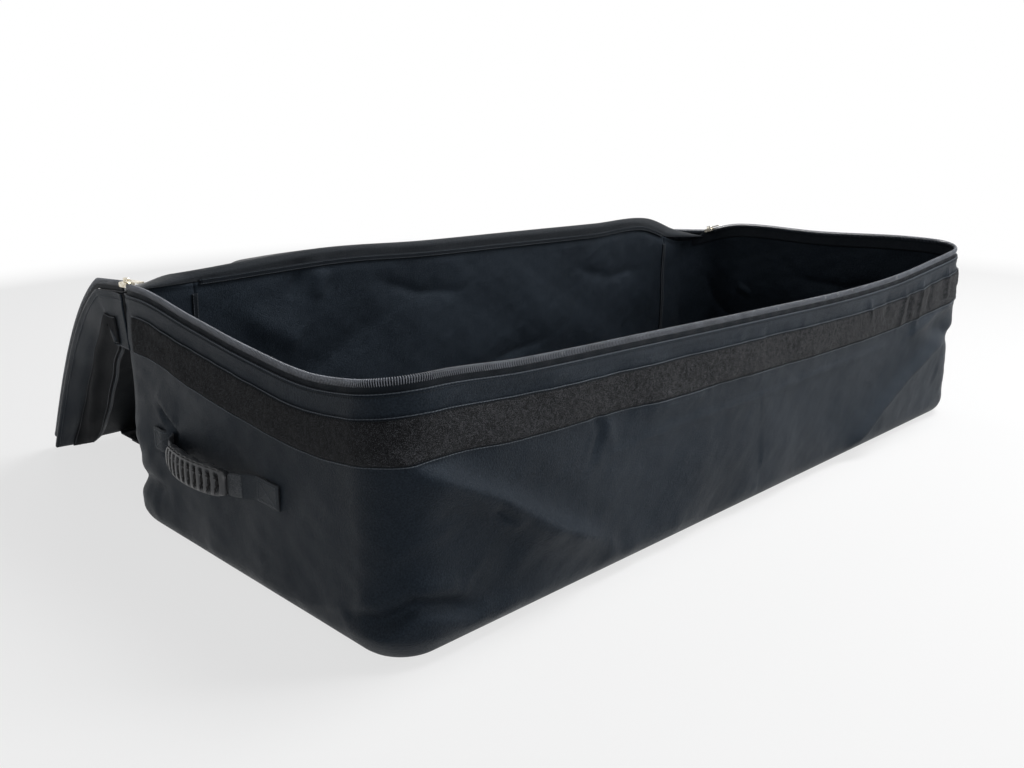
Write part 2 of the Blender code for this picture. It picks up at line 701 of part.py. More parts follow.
def side_skirt_grid(mirror):
    """Grid of a side skirt's visible face: from the lid's edge, folded under it, to the hem."""
    free = SKIRT_DEPTH - HOOK_FROM_HEM
    shares = [(free - HOOK_WIDTH) / SKIRT_DEPTH, (free - HOOK_WIDTH / 2) / SKIRT_DEPTH, free / SKIRT_DEPTH, 1.0]
    columns = []
    for k in range(SKIRT_STEPS_DOWN + 1):
        t = SKIRT_START + (1.0 - SKIRT_START) * k / SKIRT_STEPS_DOWN
        edge = side_edge(mirror, t)
        under = -side_normal(mirror, t)
        under[1] *= smooth(t / SKIRT_FREE)
        under /= np.linalg.norm(under)
        turn = math.radians(SKIRT_TURN) * t ** SKIRT_TURN_RATE
        hang = under * math.cos(turn) + np.array((-mirror * math.sin(turn), 0.0, 0.0))
        root = edge + np.array((mirror * (SKIRT_THICKNESS + SEAT), 0.0, 0.0))
        below = root + under * (CLOTH + SKIRT_THICKNESS + SEAT)
        column = [root, below] + [below + hang * SKIRT_DEPTH * share for share in shares]
        columns.append(column)
    across, along = SKIRT_NEAR
    near = np.array(columns[0]) - np.array((mirror * across, along, 0.0))
    grid = np.array([near] + columns).transpose(1, 0, 2)
    return grid[:, ::-1] if mirror > 0 else grid


def front_skirt_grid():
    """Grid of the front skirt's lower face, turned in under the lid's front edge on the floor."""
    bottom = HOOK_THICKNESS + SEAT
    turn_y = LID_REACH - SKIRT_THICKNESS
    free = SKIRT_DEPTH - HOOK_FROM_HEM
    profile = [
        (LID_REACH + SKIRT_THICKNESS / 2 + SEAT, LID_FLOOR - CLOTH), (LID_REACH, bottom + SKIRT_THICKNESS / 2),
        (turn_y, bottom), (turn_y - free + HOOK_WIDTH, bottom), (turn_y - free, bottom),
        (turn_y - SKIRT_DEPTH, bottom),
    ]
    half = lid_half_width(1.0) - SKIRT_CORNER
    xs = np.linspace(-half, half, SKIRT_STEPS_ACROSS + 1)
    return np.array([[(x, y, z) for x in xs] for y, z in profile])


def build_skirts():
    """Three skirts that cover the zip when the bag is shut, each with its hook strip."""
    grids = (("left", side_skirt_grid(-1), slice(2, 5), slice(1, None)),
             ("right", side_skirt_grid(1), slice(2, 5), slice(None, -1)),
             ("front", front_skirt_grid(), slice(3, 5), slice(None)))
    for name, grid, rows, columns in grids:
        sheet("lid_skirt_" + name, grid, SKIRT_THICKNESS, black_cloth())
        hook = grid[rows, columns]
        hook = hook + grid_normals(hook) * (SEAT + HOOK_THICKNESS)
        sheet("hook_strip_" + name, hook, HOOK_THICKNESS, loop_black())


def plate(name, outer, hole, thickness, finish, place):
    """Flat plate with a hole: two outlines of as many points, laid on the XY plane, then put in its place."""
    count = len(outer)
    rings = [[(x, y, z) for x, y in ring] for z in (-thickness / 2, thickness / 2) for ring in (outer, hole)]
    points = [point for ring in rings for point in ring]
    faces = []
    for k in range(count):
        beside = (k + 1) % count
        for first, second in ((0, 1), (2, 3), (0, 2), (1, 3)):
            faces.append((first * count + k, first * count + beside, second * count + beside, second * count + k))
    mesh = mesh_from(name, points, faces)
    mesh.materials.append(finish)
    made = bpy.data.objects.new(name, mesh)
    made.matrix_world = place
    bpy.context.collection.objects.link(made)
    return made


def rounded(x_low, x_high, half_y, radius, steps=2):
    """Outline of a rectangle with rounded corners."""
    points = []
    corners = ((x_high - radius, half_y - radius, 0), (x_low + radius, half_y - radius, 90),
               (x_low + radius, -half_y + radius, 180), (x_high - radius, -half_y + radius, 270))
    for x, y, start in corners:
        for k in range(steps + 1):
            angle = math.radians(start + 90 * k / steps)
            points.append((x + radius * math.cos(angle), y + radius * math.sin(angle)))
    return points


def extruded(name, profile, width, finish, place):
    """Solid of an outline in its own XZ plane, as wide as width along its own Y."""
    count = len(profile)
    points = [(x, y, z) for y in (-width / 2, width / 2) for x, z in profile]
    faces = [tuple(range(count)), tuple(range(count, 2 * count))]
    for k in range(count):
        beside = (k + 1) % count
        faces.append((k, beside, count + beside, count + k))
    mesh = mesh_from(name, points, faces)
    mesh.materials.append(finish)
    made = bpy.data.objects.new(name, mesh)
    made.matrix_world = place
    bpy.context.collection.objects.link(made)
    return made


def build_slider(side, mirror):
    """Slider with the bridge on its back, and its pull, hinged crosswise under the bridge."""
    centre, ahead = slider_frame(mirror)
    across = np.cross((0.0, 0.0, 1.0), ahead)
    across /= np.linalg.norm(across)
    up = np.cross(ahead, across)
    place = Matrix([(*row, 1.0) for row in (ahead, across, up, centre)]).transposed()
    for column in range(3):
        place[3][column] = 0.0
    half = SLIDER_LENGTH / 2
    top = SLIDER_HEIGHT / 2
    edge = SLIDER_EDGE
    block = [(-half + edge, -top), (half - edge, -top), (half, -top + edge), (half, top - edge),
             (half - edge, top), (-half + edge, top), (-half, top - edge), (-half, -top + edge)]
    body = extruded("slider_" + side, block, SLIDER_WIDTH, zip_metal(), place)
    inner = CROWN_WINDOW / 2
    outer = inner + CROWN_BAR
    high = top + CROWN_ROOM
    cut = CROWN_BAR / 2
    arch = [(-outer, 0.0), (-inner, 0.0), (-inner, high), (inner, high), (inner, 0.0), (outer, 0.0),
            (outer, high + CROWN_BAR - cut), (outer - cut, high + CROWN_BAR),
            (cut - outer, high + CROWN_BAR), (-outer, high + CROWN_BAR - cut)]
    crown = extruded("crown_" + side, arch, CROWN_WIDTH, zip_metal(), place)
    crown.hide_render = True
    crown.display_type = "WIRE"
    union = body.modifiers.new("crown", "BOOLEAN")
    union.operation = "UNION"
    union.solver = "EXACT"
    union.object = crown

    pivot = place @ Vector((0.0, 0.0, top + CROWN_ROOM / 2))
    hung = place.copy()
    hung.translation = pivot
    bar = PULL_BAR / 2
    outer_line = rounded(-bar, PULL_LENGTH, PULL_WIDTH / 2, PULL_ROUND)
    slot_line = rounded(bar, bar + PULL_SLOT_LENGTH, PULL_SLOT_WIDTH / 2, PULL_ROUND)
    plate("pull_" + side, outer_line, slot_line, PULL_THICKNESS, zip_metal(), hung)


def bow_at(mirror, along):
    """Point of the bowed webbing's middle line at a distance from the handle's middle, and its outward normal."""
    share = along / HANDLE_HALF_SPAN
    stand = ROOT_STAND + (STRAP_BOW - ROOT_STAND) * (1 - share * share)
    slope = -2 * share * (STRAP_BOW - ROOT_STAND) / HANDLE_HALF_SPAN
    length = math.hypot(1.0, slope)
    point = np.array((mirror * (HALF_LENGTH + stand), HANDLE_CENTRE + along, HANDLE_HEIGHT))
    return point, np.array((mirror / length, -slope / length, 0.0))


def handle_path(mirror):
    """Middle line of a handle's free webbing: points, and the direction across its thickness."""
    centres, outs = [], []
    for k in range(2 * GRIP_STEPS + 1):
        centre, out = bow_at(mirror, (k / GRIP_STEPS - 1) * HANDLE_HALF_SPAN)
        centres.append(centre)
        outs.append(out if 0 < k < 2 * GRIP_STEPS else np.array((mirror, 0.0, 0.0)))
    return centres, outs


def build_grip(side, mirror):
    """Moulded grip: an oval tube along the bowed webbing, with a slot for it."""
    count = GRIP_SIDES
    up = np.array((0.0, 0.0, 1.0))
    slot_height = STRAP_WIDTH / 2 + GRIP_SLOT_ROOM
    slot_depth = STRAP_THICKNESS / 2 + GRIP_SLOT_ROOM
    turns = [2 * math.pi * (corner + 0.5) / count for corner in range(count)]
    points = []
    for k in range(GRIP_STEPS + 1):
        share = 2 * k / GRIP_STEPS - 1
        centre, out = bow_at(mirror, share * GRIP_LENGTH / 2)
        scale = 1.0 - (1.0 - GRIP_END_SCALE) * share ** 4
        half_height = max(GRIP_HEIGHT / 2 * scale, slot_height + GRIP_WALL)
        half_depth = max(GRIP_THICKNESS / 2 * scale, slot_depth + GRIP_WALL)
        for turn in turns:
            a = math.copysign(abs(math.cos(turn)) ** GRIP_SQUARE, math.cos(turn)) * half_depth
            b = math.copysign(abs(math.sin(turn)) ** GRIP_SQUARE, math.sin(turn)) * half_height
            points.append((centre + out * a + up * b).tolist())
        for turn in turns:
            a = max(-1.0, min(1.0, SLOT_SQUARE[0] * math.cos(turn))) * slot_depth
            b = max(-1.0, min(1.0, SLOT_SQUARE[1] * math.sin(turn))) * slot_height
            points.append((centre + out * a + up * b).tolist())
    ring = 2 * count
    faces = []
    for corner in range(count):
        beside = (corner + 1) % count
        for k in (0, GRIP_STEPS):
            base = k * ring
            faces.append((base + corner, base + beside, base + count + beside, base + count + corner))
        for k in range(GRIP_STEPS):
            for layer in (0, count):
                here = k * ring + layer
                faces.append((here + corner, here + beside, here + ring + beside, here + ring + corner))
    mesh = mesh_from("handle_grip_" + side, points, faces)
    place_object("handle_grip_" + side, mesh, grip_rubber(), (mirror * (HALF_LENGTH + ROOT_STAND),
                                                              HANDLE_CENTRE, HANDLE_HEIGHT))


def build_handle(side, mirror):
    """Carry handle: two sewn anchors, and the webbing and grip that swing between them."""
    centres, outs = handle_path(mirror)
    ups = [(0.0, 0.0, 1.0)] * len(centres)
    axis = (mirror * (HALF_LENGTH + ROOT_STAND), HANDLE_CENTRE, HANDLE_HEIGHT)
    section = rectangle(STRAP_THICKNESS, STRAP_WIDTH)
    sweep("handle_strap_" + side, centres, outs, ups, section, webbing(), axis)
    build_grip(side, mirror)
    for name, way in (("front", -1), ("rear", 1)):
        root = HANDLE_CENTRE + way * (HANDLE_HALF_SPAN + SEAT)
        flat = SEAT + ANCHOR_THICKNESS / 2
        line = ((ROOT_STAND, 0.0), (flat + ROOT_CURL * (ROOT_STAND - flat), ROOT_CURL * ROOT_RUN),
                (flat, ROOT_RUN), (flat, ROOT_RUN + ANCHOR_LENGTH))
        path = [(mirror * (HALF_LENGTH + stand), root + way * back, HANDLE_HEIGHT) for stand, back in line]
        leans = [(mirror, 0.0, 0.0)] * len(path)
        rises = [(0.0, 0.0, 1.0)] * len(path)
        body = rectangle(ANCHOR_THICKNESS, ANCHOR_WIDTH)
        sweep("handle_anchor_" + name + "_" + side, path, leans, rises, body, webbing())


def main():
    for old in list(bpy.data.objects):
        bpy.data.objects.remove(old, do_unlink=True)
    build_walls()
    build_base()
    build_seam_tapes()
    build_tub_zip()
    build_loop_strip()
    build_lid()
    build_lid_zip()
    build_skirts()
    for side, mirror in (("left", -1), ("right", 1)):
        build_slider(side, mirror)
        build_handle(side, mirror)


main()
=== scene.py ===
"""Looks of the transit bag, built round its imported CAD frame. Metres, in the frame of the CAD part."""
import math

import bpy
import numpy as np
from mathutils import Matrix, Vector


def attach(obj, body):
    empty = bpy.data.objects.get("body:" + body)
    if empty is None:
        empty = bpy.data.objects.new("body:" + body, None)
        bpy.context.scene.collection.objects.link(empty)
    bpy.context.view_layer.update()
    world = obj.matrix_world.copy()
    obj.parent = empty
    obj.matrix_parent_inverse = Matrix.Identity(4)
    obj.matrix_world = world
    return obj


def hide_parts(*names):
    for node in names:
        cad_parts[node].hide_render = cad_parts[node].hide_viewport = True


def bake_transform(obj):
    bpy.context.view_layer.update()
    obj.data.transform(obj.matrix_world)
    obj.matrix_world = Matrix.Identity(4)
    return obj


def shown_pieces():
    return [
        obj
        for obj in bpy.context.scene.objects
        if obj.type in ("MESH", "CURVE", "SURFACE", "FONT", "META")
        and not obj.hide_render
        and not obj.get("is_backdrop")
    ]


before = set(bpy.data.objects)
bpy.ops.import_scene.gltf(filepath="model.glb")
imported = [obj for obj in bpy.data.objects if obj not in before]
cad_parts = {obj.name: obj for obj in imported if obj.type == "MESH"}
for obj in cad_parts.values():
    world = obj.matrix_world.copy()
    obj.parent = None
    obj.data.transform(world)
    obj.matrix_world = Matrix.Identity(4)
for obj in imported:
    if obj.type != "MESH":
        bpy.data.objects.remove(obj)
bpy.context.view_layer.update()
random = np.random.default_rng(7)

# Sizes of the CAD part
HALF_LENGTH, HALF_WIDTH = 0.600, 0.270
CORNER_RADIUS, FLOOR_RADIUS, TURN_UNDER = 0.055, 0.026, 0.040
CLOTH, SEAT = 0.0024, 0.0005
TAPE_STAND, TAPE_OVERLAP, TAPE_THICKNESS, COIL_HEIGHT = 0.013, 0.012, 0.0012, 0.0056
SLIDER_LENGTH, SLIDER_ROOM, ZIP_END_ANGLE, SLIDER_YAW = 0.016, 0.003, 22, 8
STRIP_BELOW_EDGE, STRIP_WIDTH, STRIP_END = 0.0235, 0.044, 0.212
REAR_SEAM_X, REAR_RISE, REAR_RISE_HALF = 0.490, 0.020, 0.270
BINDING_WIDTH, BINDING_THICKNESS, SEAM_TAPE_ROOM = 0.008, 0.0010, 0.0006
HEM_DEPTH = 0.013
LID_FOLD_RADIUS, LID_REACH, LID_HANG, LID_FLOOR = 0.008, 0.588, 0.460, 0.0085
LID_START_SLOPE, LID_END_SLOPE, LID_STIFFNESS = 14, 55, 0.14
LID_LEAN, LID_SIDE_INSET, LID_TAPE_INSET, LID_CORNER = 0.029, 0.003, 0.002, 0.975
LID_WAVES, LID_WAVE_HEIGHT, LID_WAVE_PHASE, LID_WAVE_FADE = 3, 0.012, 0.6, 0.25
SIDE_JOIN = 0.1
SKIRT_DEPTH, SKIRT_THICKNESS, SKIRT_CORNER = 0.085, 0.0020, 0.100
SKIRT_START, SKIRT_TURN, SKIRT_TURN_RATE = 0.035, 86, 2.4
HOOK_FROM_HEM, HOOK_WIDTH, HOOK_THICKNESS = 0.005, 0.045, 0.0014
HANDLE_CENTRE, HANDLE_HEIGHT = 0.045, 0.131
HANDLE_HALF_SPAN, ROOT_STAND, ROOT_RUN, STRAP_BOW = 0.079, 0.012, 0.014, 0.028
STRAP_WIDTH, STRAP_THICKNESS = 0.026, 0.0024
ANCHOR_LENGTH, ANCHOR_WIDTH, ANCHOR_THICKNESS = 0.042, 0.028, 0.0030
GRIP_LENGTH, GRIP_HEIGHT, GRIP_THICKNESS, GRIP_SLOTS = 0.124, 0.032, 0.018, 10

# Sizes of what is added here
WALL_ROWS, WALL_STEP, ZIP_STEP, TEETH_PITCH = 55, 0.005, 0.003, 0.0024
EDGE_CALM = 0.022                       # below the wall's top edge, where the folds die out
HEM_STEP, HEM_ROUND = 0.0007, 0.0012    # how far the hem stands out, and how far its top turns in
TAPE_IN_COIL = 0.45                     # share of the coil's height that the zip's tape reaches into
LOOP_BASE, LOOP_PILE, LOOP_FUZZ, HOOK_FUZZ = 0.0009, 0.0008, 0.0004, 0.00022
ROOT_SLOPE = 0.62                       # rise over run of the handle's webbing where it bends
ANCHOR_CLOTH = 0.0022                   # webbing of a sewn end
DEEPEST_CUT = 0.76                      # share of the grip's radius
SPREAD_AT_FOLD = 0.56                   # share of the lid's spread to full width, just behind its fold
SKIRT_FAN, SKIRT_DRAG = 0.12, 1.1       # how the side skirts turn from the tub's corner, and are dragged back
SKIRT_NEAR = (-0.0022, 0.028)           # from a skirt's first fold to the tub's corner: across, along
SKIRT_STEPS, NEAR_STEPS = 30, 8         # rows down a skirt, columns between that fold and the corner
LID_COLUMNS, LID_ROWS = 201, 78
WHITE = (1.0, 1.0, 1.0, 1.0)
EYE_PLACE, EYE_YAW, EYE_PITCH, EYE_FIELD = (-1.1325, -0.9659, 0.5451), 45.44, -16.34, 51.85
LAMPS = (                               # name, place, aim, size, power
    ("top", (0.95, -0.65, 2.2), (0.15, -0.05, 0.0), 1.4, 58.0),
    ("key", (2.2, -1.9, 1.2), (0.0, -0.2, 0.1), 0.9, 30.0),
    ("fill", (-1.4, -2.6, 0.9), (-0.2, -0.2, 0.1), 1.2, 14.0),
    ("back", (0.9, 2.4, 2.7), (0.1, 0.3, 0.1), 1.4, 11.0),
)

# Height of the zip's crest at places round the rim
RIM_HEIGHTS = (
    ("rear", -0.10, 0.303), ("rear", -0.28, 0.312), ("rear", -0.50, 0.304),
    ("left", 0.19, 0.309), ("left", 0.08, 0.295), ("left", -0.04, 0.281), ("left", -0.15, 0.275),
    ("front", -0.56, 0.290), ("front", -0.43, 0.281), ("front", -0.25, 0.274), ("front", 0.00, 0.265),
    ("front", 0.21, 0.259), ("front", 0.36, 0.261), ("front", 0.50, 0.272),
    ("right", -0.20, 0.284), ("right", 0.00, 0.275), ("right", 0.17, 0.272),
    ("rear", 0.55, 0.246), ("rear", 0.42, 0.287), ("rear", 0.28, 0.291), ("rear", 0.06, 0.298),
)

# Folds of the walls: kind, width, height, lean, then the points (place along the side, height) that each runs
# along. Lean above 0 softens its right-hand side, seen along the run. A crest is sharp on top.
FRONT_FOLDS = (
    # shoulder at the near left, its roll and the nick in it
    ("crest", 0.03, 0.02, 0.45, ((-0.592, 0.222), (-0.559, 0.195), (-0.471, 0.148), (-0.399, 0.098),
     (-0.3, 0.045))),
    ("soft", 0.034, 0.004, 0, ((-0.5, 0.215), (-0.4, 0.17), (-0.31, 0.11))),
    ("soft", 0.024, -0.004, 0, ((-0.56, 0.165), (-0.5, 0.13), (-0.43, 0.08))),
    ("slit", 0.0045, -0.0044, 0, ((-0.48, 0.142), (-0.457, 0.12))),
    ("crest", 0.005, 0.002, 0, ((-0.47, 0.128), (-0.447, 0.112))),
    # streaks below it
    ("crest", 0.012, 0.0028, -0.3, ((-0.6, 0.105), (-0.567, 0.128), (-0.525, 0.135))),
    ("crest", 0.01, 0.0022, -0.3, ((-0.522, 0.052), (-0.505, 0.076), (-0.485, 0.088))),
    ("soft", 0.016, 0.0018, 0, ((-0.45, 0.06), (-0.42, 0.085), (-0.38, 0.1))),
    # tuck over the pillow at the near bottom corner
    ("slit", 0.008, -0.0075, -0.2, ((-0.64, 0.044), (-0.6, 0.046), (-0.571, 0.064), (-0.538, 0.055),
     (-0.5, 0.038))),
    ("soft", 0.018, 0.007, 0, ((-0.63, 0.022), (-0.56, 0.036), (-0.49, 0.022), (-0.42, 0.02))),
    ("soft", 0.016, 0.003, 0, ((-0.575, 0.078), (-0.52, 0.074))),
    # sharp ridge that runs from the strip to the floor at the far end, and the flat face to its right
    ("crest", 0.018, 0.017, 0.3, ((0.555, 0.16), (0.523, 0.139), (0.475, 0.125), (0.397, 0.095), (0.322, 0.063),
     (0.256, 0.026), (0.225, 0.004))),
    ("soft", 0.012, -0.0022, 0, ((0.44, 0.128), (0.36, 0.094), (0.29, 0.062))),
    ("crest", 0.016, 0.008, 0.4, ((0.4, 0.158), (0.425, 0.168), (0.48, 0.184), (0.56, 0.196))),
    ("soft", 0.012, -0.004, 0, ((0.47, 0.165), (0.52, 0.15), (0.585, 0.12))),
    ("soft", 0.022, 0.003, 0, ((0.52, 0.085), (0.565, 0.06))),
    ("soft", 0.014, -0.0035, 0, ((0.56, 0.175), (0.598, 0.095), (0.604, 0.05))),
    # long faint crease under the strip and the pucker at its left end
    ("crest", 0.006, 0.0024, 0.5, ((-0.33, 0.146), (-0.28, 0.151), (-0.194, 0.156), (-0.018, 0.153),
     (0.147, 0.155), (0.33, 0.158))),
    ("slit", 0.0055, -0.0026, 0, ((-0.325, 0.198), (-0.312, 0.182), (-0.319, 0.165), (-0.331, 0.146))),
    ("soft", 0.01, 0.0026, 0, ((-0.305, 0.188), (-0.298, 0.17), (-0.29, 0.158))),
    ("soft", 0.012, 0.0058, 0, ((-0.25, 0.19), (-0.192, 0.186), (-0.12, 0.184))),
    ("soft", 0.014, 0.0018, 0, ((-0.06, 0.178), (0.06, 0.176))),
    # wide soft swells
    ("soft", 0.06, 0.006, 0, ((-0.18, 0.11), (0.12, 0.06))),
    ("soft", 0.026, 0.005, 0, ((-0.28, 0.02), (-0.15, 0.03))),
    ("soft", 0.04, -0.003, 0, ((0.05, 0.13), (0.22, 0.085))),
    # small puckers of the band over the strip and of the strip itself
    ("soft", 0.006, 0.0022, 0, ((-0.602, 0.262), (-0.586, 0.268))),
    ("crest", 0.006, 0.0024, 0, ((-0.545, 0.256), (-0.52, 0.27))),
    ("soft", 0.006, -0.0014, 0, ((-0.5, 0.252), (-0.48, 0.262))),
    ("soft", 0.006, 0.0015, 0, ((-0.395, 0.246), (-0.37, 0.258))),
    ("crest", 0.006, 0.0014, 0, ((-0.24, 0.24), (-0.222, 0.253))),
    ("soft", 0.006, 0.0013, 0, ((-0.06, 0.232), (-0.045, 0.245))),
    ("soft", 0.006, 0.0014, 0, ((0.09, 0.226), (0.1, 0.242))),
    ("crest", 0.006, 0.003, 0, ((0.268, 0.256), (0.272, 0.23), (0.279, 0.205))),
    ("soft", 0.007, -0.0018, 0, ((0.33, 0.24), (0.322, 0.205))),
    ("crest", 0.0065, 0.0034, 0, ((0.384, 0.238), (0.376, 0.205), (0.364, 0.176))),
    ("slit", 0.006, -0.0026, 0, ((0.4, 0.225), (0.39, 0.185))),
    ("crest", 0.0065, 0.0034, 0, ((0.44, 0.246), (0.428, 0.2), (0.414, 0.16))),
    ("soft", 0.008, -0.0024, 0, ((0.47, 0.235), (0.456, 0.19))),
    ("crest", 0.009, 0.0034, 0, ((0.53, 0.256), (0.521, 0.2))),
    ("soft", 0.01, 0.0026, 0, ((0.575, 0.25), (0.572, 0.215))),
)

LEFT_FOLDS = (
    ("slit", 0.0055, -0.0048, 0, ((0.166, 0.172), (0.152, 0.16), (0.138, 0.152), (0.13, 0.146))),
    ("slit", 0.0055, -0.004, 0, ((0.13, 0.146), (0.142, 0.134), (0.16, 0.118))),
    ("soft", 0.016, 0.003, 0, ((0.175, 0.185), (0.12, 0.165))),
    ("slit", 0.01, -0.0048, 0, ((0.262, 0.06), (0.215, 0.066), (0.165, 0.06))),
    ("soft", 0.02, 0.0035, 0, ((0.255, 0.03), (0.18, 0.034))),
    ("soft", 0.022, 0.0035, 0, ((0.19, 0.1), (0.235, 0.13))),
    ("soft", 0.03, 0.003, 0, ((-0.07, 0.06), (0.09, 0.03))),
    ("soft", 0.04, 0.003, 0, ((-0.18, 0.18), (-0.13, 0.05))),
    ("soft", 0.018, 0.0026, 0, ((0.11, 0.215), (-0.03, 0.18))),
    ("soft", 0.01, -0.002, 0, ((0.2, 0.262), (0.12, 0.246))),
    ("crest", 0.012, 0.0025, 0, ((-0.1, 0.02), (-0.215, 0.055), (-0.245, 0.08))),
)

RIGHT_FOLDS = (
    ("crest", 0.022, 0.005, 0.2, ((-0.235, 0.19), (-0.2, 0.06))),
    ("soft", 0.022, 0.0045, 0, ((-0.12, 0.045), (0.12, 0.055))),
    ("soft", 0.018, -0.0045, 0, ((0.15, 0.18), (0.215, 0.06))),
    ("crest", 0.01, 0.0035, -0.3, ((0.14, 0.06), (0.22, 0.12), (0.24, 0.16))),
    ("crest", 0.012, 0.003, 0.3, ((-0.15, 0.205), (-0.06, 0.18), (0.04, 0.184))),
    ("slit", 0.0055, -0.0036, 0, ((0.16, 0.152), (0.14, 0.14))),
    ("slit", 0.0065, -0.003, 0, ((-0.14, 0.15), (-0.18, 0.135))),
)

# Inside the tub at the far left, and behind
REAR_FOLDS = (
    ("crest", 0.012, 0.0045, 0, ((-0.347, 0.245), (-0.33, 0.29))),
    ("soft", 0.012, -0.0045, 0, ((-0.303, 0.24), (-0.292, 0.29))),
    ("crest", 0.016, 0.0045, 0, ((-0.2, 0.255), (-0.12, 0.225), (-0.03, 0.215))),
    ("crest", 0.04, 0.006, 0.2, ((-0.42, 0.08), (-0.3, 0.15), (-0.18, 0.2))),
    ("soft", 0.04, -0.006, 0, ((0.08, 0.19), (0.23, 0.12), (0.38, 0.05))),
    ("soft", 0.022, -0.0055, 0, ((-0.42, 0.235), (-0.33, 0.18))),
    ("crest", 0.014, 0.004, 0.3, ((-0.08, 0.04), (0.06, 0.09), (0.15, 0.1))),
    ("crest", 0.014, 0.0035, 0, ((0.25, 0.215), (0.33, 0.19), (0.42, 0.195))),
)

FOLDS = (("front", FRONT_FOLDS), ("left", LEFT_FOLDS), ("right", RIGHT_FOLDS), ("rear", REAR_FOLDS))

# Folds of the lid, in the same way, at (x, distance down from its fold over the rear wall)
LID_FOLDS = (
    ("soft", 0.02, 0.005, 0, ((-0.585, 0.06), (-0.56, 0.22), (-0.545, 0.44))),
    ("soft", 0.022, -0.005, 0, ((-0.56, 0.01), (-0.48, 0.12), (-0.44, 0.3))),
    ("crest", 0.03, 0.006, 0.3, ((-0.42, 0), (-0.36, 0.14), (-0.35, 0.33))),
    ("crest", 0.034, 0.006, -0.2, ((-0.2, 0), (-0.23, 0.16), (-0.18, 0.42))),
    ("soft", 0.036, -0.006, 0, ((0.02, 0), (0.06, 0.2), (0.02, 0.44))),
    ("crest", 0.03, 0.0065, 0.2, ((0.18, 0.01), (0.23, 0.18), (0.3, 0.43))),
    ("soft", 0.03, -0.0055, 0, ((0.42, 0), (0.4, 0.15), (0.46, 0.38))),
    ("soft", 0.022, 0.005, 0, ((0.56, 0.02), (0.54, 0.2), (0.56, 0.42))),
    ("crest", 0.014, 0.0028, 0.3, ((-0.3, 0.33), (-0.1, 0.35), (0.1, 0.32))),
    ("crest", 0.012, 0.0024, 0.3, ((-0.06, 0.12), (0.12, 0.09), (0.28, 0.11))),
    ("crest", 0.012, 0.0026, 0, ((0.32, 0.26), (0.44, 0.235), (0.54, 0.245))),
    ("crest", 0.012, 0.0024, 0, ((-0.52, 0.3), (-0.44, 0.28), (-0.34, 0.3))),
)

UP = np.array((0.0, 0.0, 1.0))
FLAT_X, FLAT_Y = HALF_LENGTH - CORNER_RADIUS, HALF_WIDTH - CORNER_RADIUS
ARC = CORNER_RADIUS * math.pi / 2

# Arc length round the tub's plan, from the middle of the rear wall to the left, front and right
(TO_REAR_LEFT, TO_LEFT, TO_FRONT_LEFT, TO_FRONT, TO_FRONT_RIGHT, TO_RIGHT, TO_REAR_RIGHT, TO_REAR,
 ROUND) = np.cumsum((FLAT_X, ARC, 2 * FLAT_Y, ARC, 2 * FLAT_X, ARC, 2 * FLAT_Y, ARC, FLAT_X)).tolist()
STRAIGHTS = (
    (0.0, TO_REAR_LEFT, (0.0, HALF_WIDTH), (-1, 0), (0, 1)),
    (TO_LEFT, TO_FRONT_LEFT, (-HALF_LENGTH, FLAT_Y), (0, -1), (-1, 0)),
    (TO_FRONT, TO_FRONT_RIGHT, (-FLAT_X, -HALF_WIDTH), (1, 0), (0, -1)),
    (TO_RIGHT, TO_REAR_RIGHT, (HALF_LENGTH, -FLAT_Y), (0, 1), (1, 0)),
    (TO_REAR, ROUND, (FLAT_X, HALF_WIDTH), (-1, 0), (0, 1)),
)
CORNERS = (
    (TO_REAR_LEFT, TO_LEFT, (-FLAT_X, FLAT_Y), 90), (TO_FRONT_LEFT, TO_FRONT, (-FLAT_X, -FLAT_Y), 180),
    (TO_FRONT_RIGHT, TO_RIGHT, (FLAT_X, -FLAT_Y), 270), (TO_REAR_RIGHT, TO_REAR, (FLAT_X, FLAT_Y), 0),
)
ZIP_START = TO_LEFT - math.radians(ZIP_END_ANGLE) * CORNER_RADIUS
ZIP_END = TO_REAR_RIGHT + math.radians(ZIP_END_ANGLE) * CORNER_RADIUS


def smooth(t):
    """Ease from 0 to 1."""
    t = np.clip(t, 0.0, 1.0)
    return t * t * (3.0 - 2.0 * t)


def unit(vectors):
    """Vectors in the same directions, one long."""
    return vectors / np.maximum(np.linalg.norm(vectors, axis=-1, keepdims=True), 1e-12)


def between(start, end, step):
    """Evenly spaced values from start to end, about step apart."""
    return np.linspace(start, end, max(2, int(round((end - start) / step)) + 1))


def centred(half, step):
    """Evenly spaced values from -half to half, about step apart."""
    return between(-half, half, step)


def arc_at(side, place):
    """Arc length of a place on one side: x on the front and rear walls, y on the end walls."""
    if side == "front":
        return TO_FRONT + place + FLAT_X
    if side == "left":
        return TO_LEFT + FLAT_Y - place
    if side == "right":
        return TO_RIGHT + place + FLAT_Y
    return -place


def plan(s):
    """Points and outward normals of the tub's plan at arc lengths s."""
    s = np.mod(np.atleast_1d(np.asarray(s, float)), ROUND)
    point = np.zeros(s.shape + (2,))
    normal = np.zeros_like(point)
    for start, end, origin, along, out in STRAIGHTS:
        here = (s >= start) & (s <= end)
        point[here] = np.array(origin) + np.outer(s[here] - start, along)
        normal[here] = out
    for start, end, centre, angle in CORNERS:
        here = (s > start) & (s < end)
        turn = math.radians(angle) + (s[here] - start) / CORNER_RADIUS
        normal[here] = np.stack((np.cos(turn), np.sin(turn)), axis=-1)
        point[here] = np.array(centre) + CORNER_RADIUS * normal[here]
    return point, normal


def outward(s):
    """Outward directions of the plan at arc lengths s, as 3-D vectors."""
    normal = plan(s)[1]
    return np.concatenate((normal, np.zeros((len(normal), 1))), axis=1)


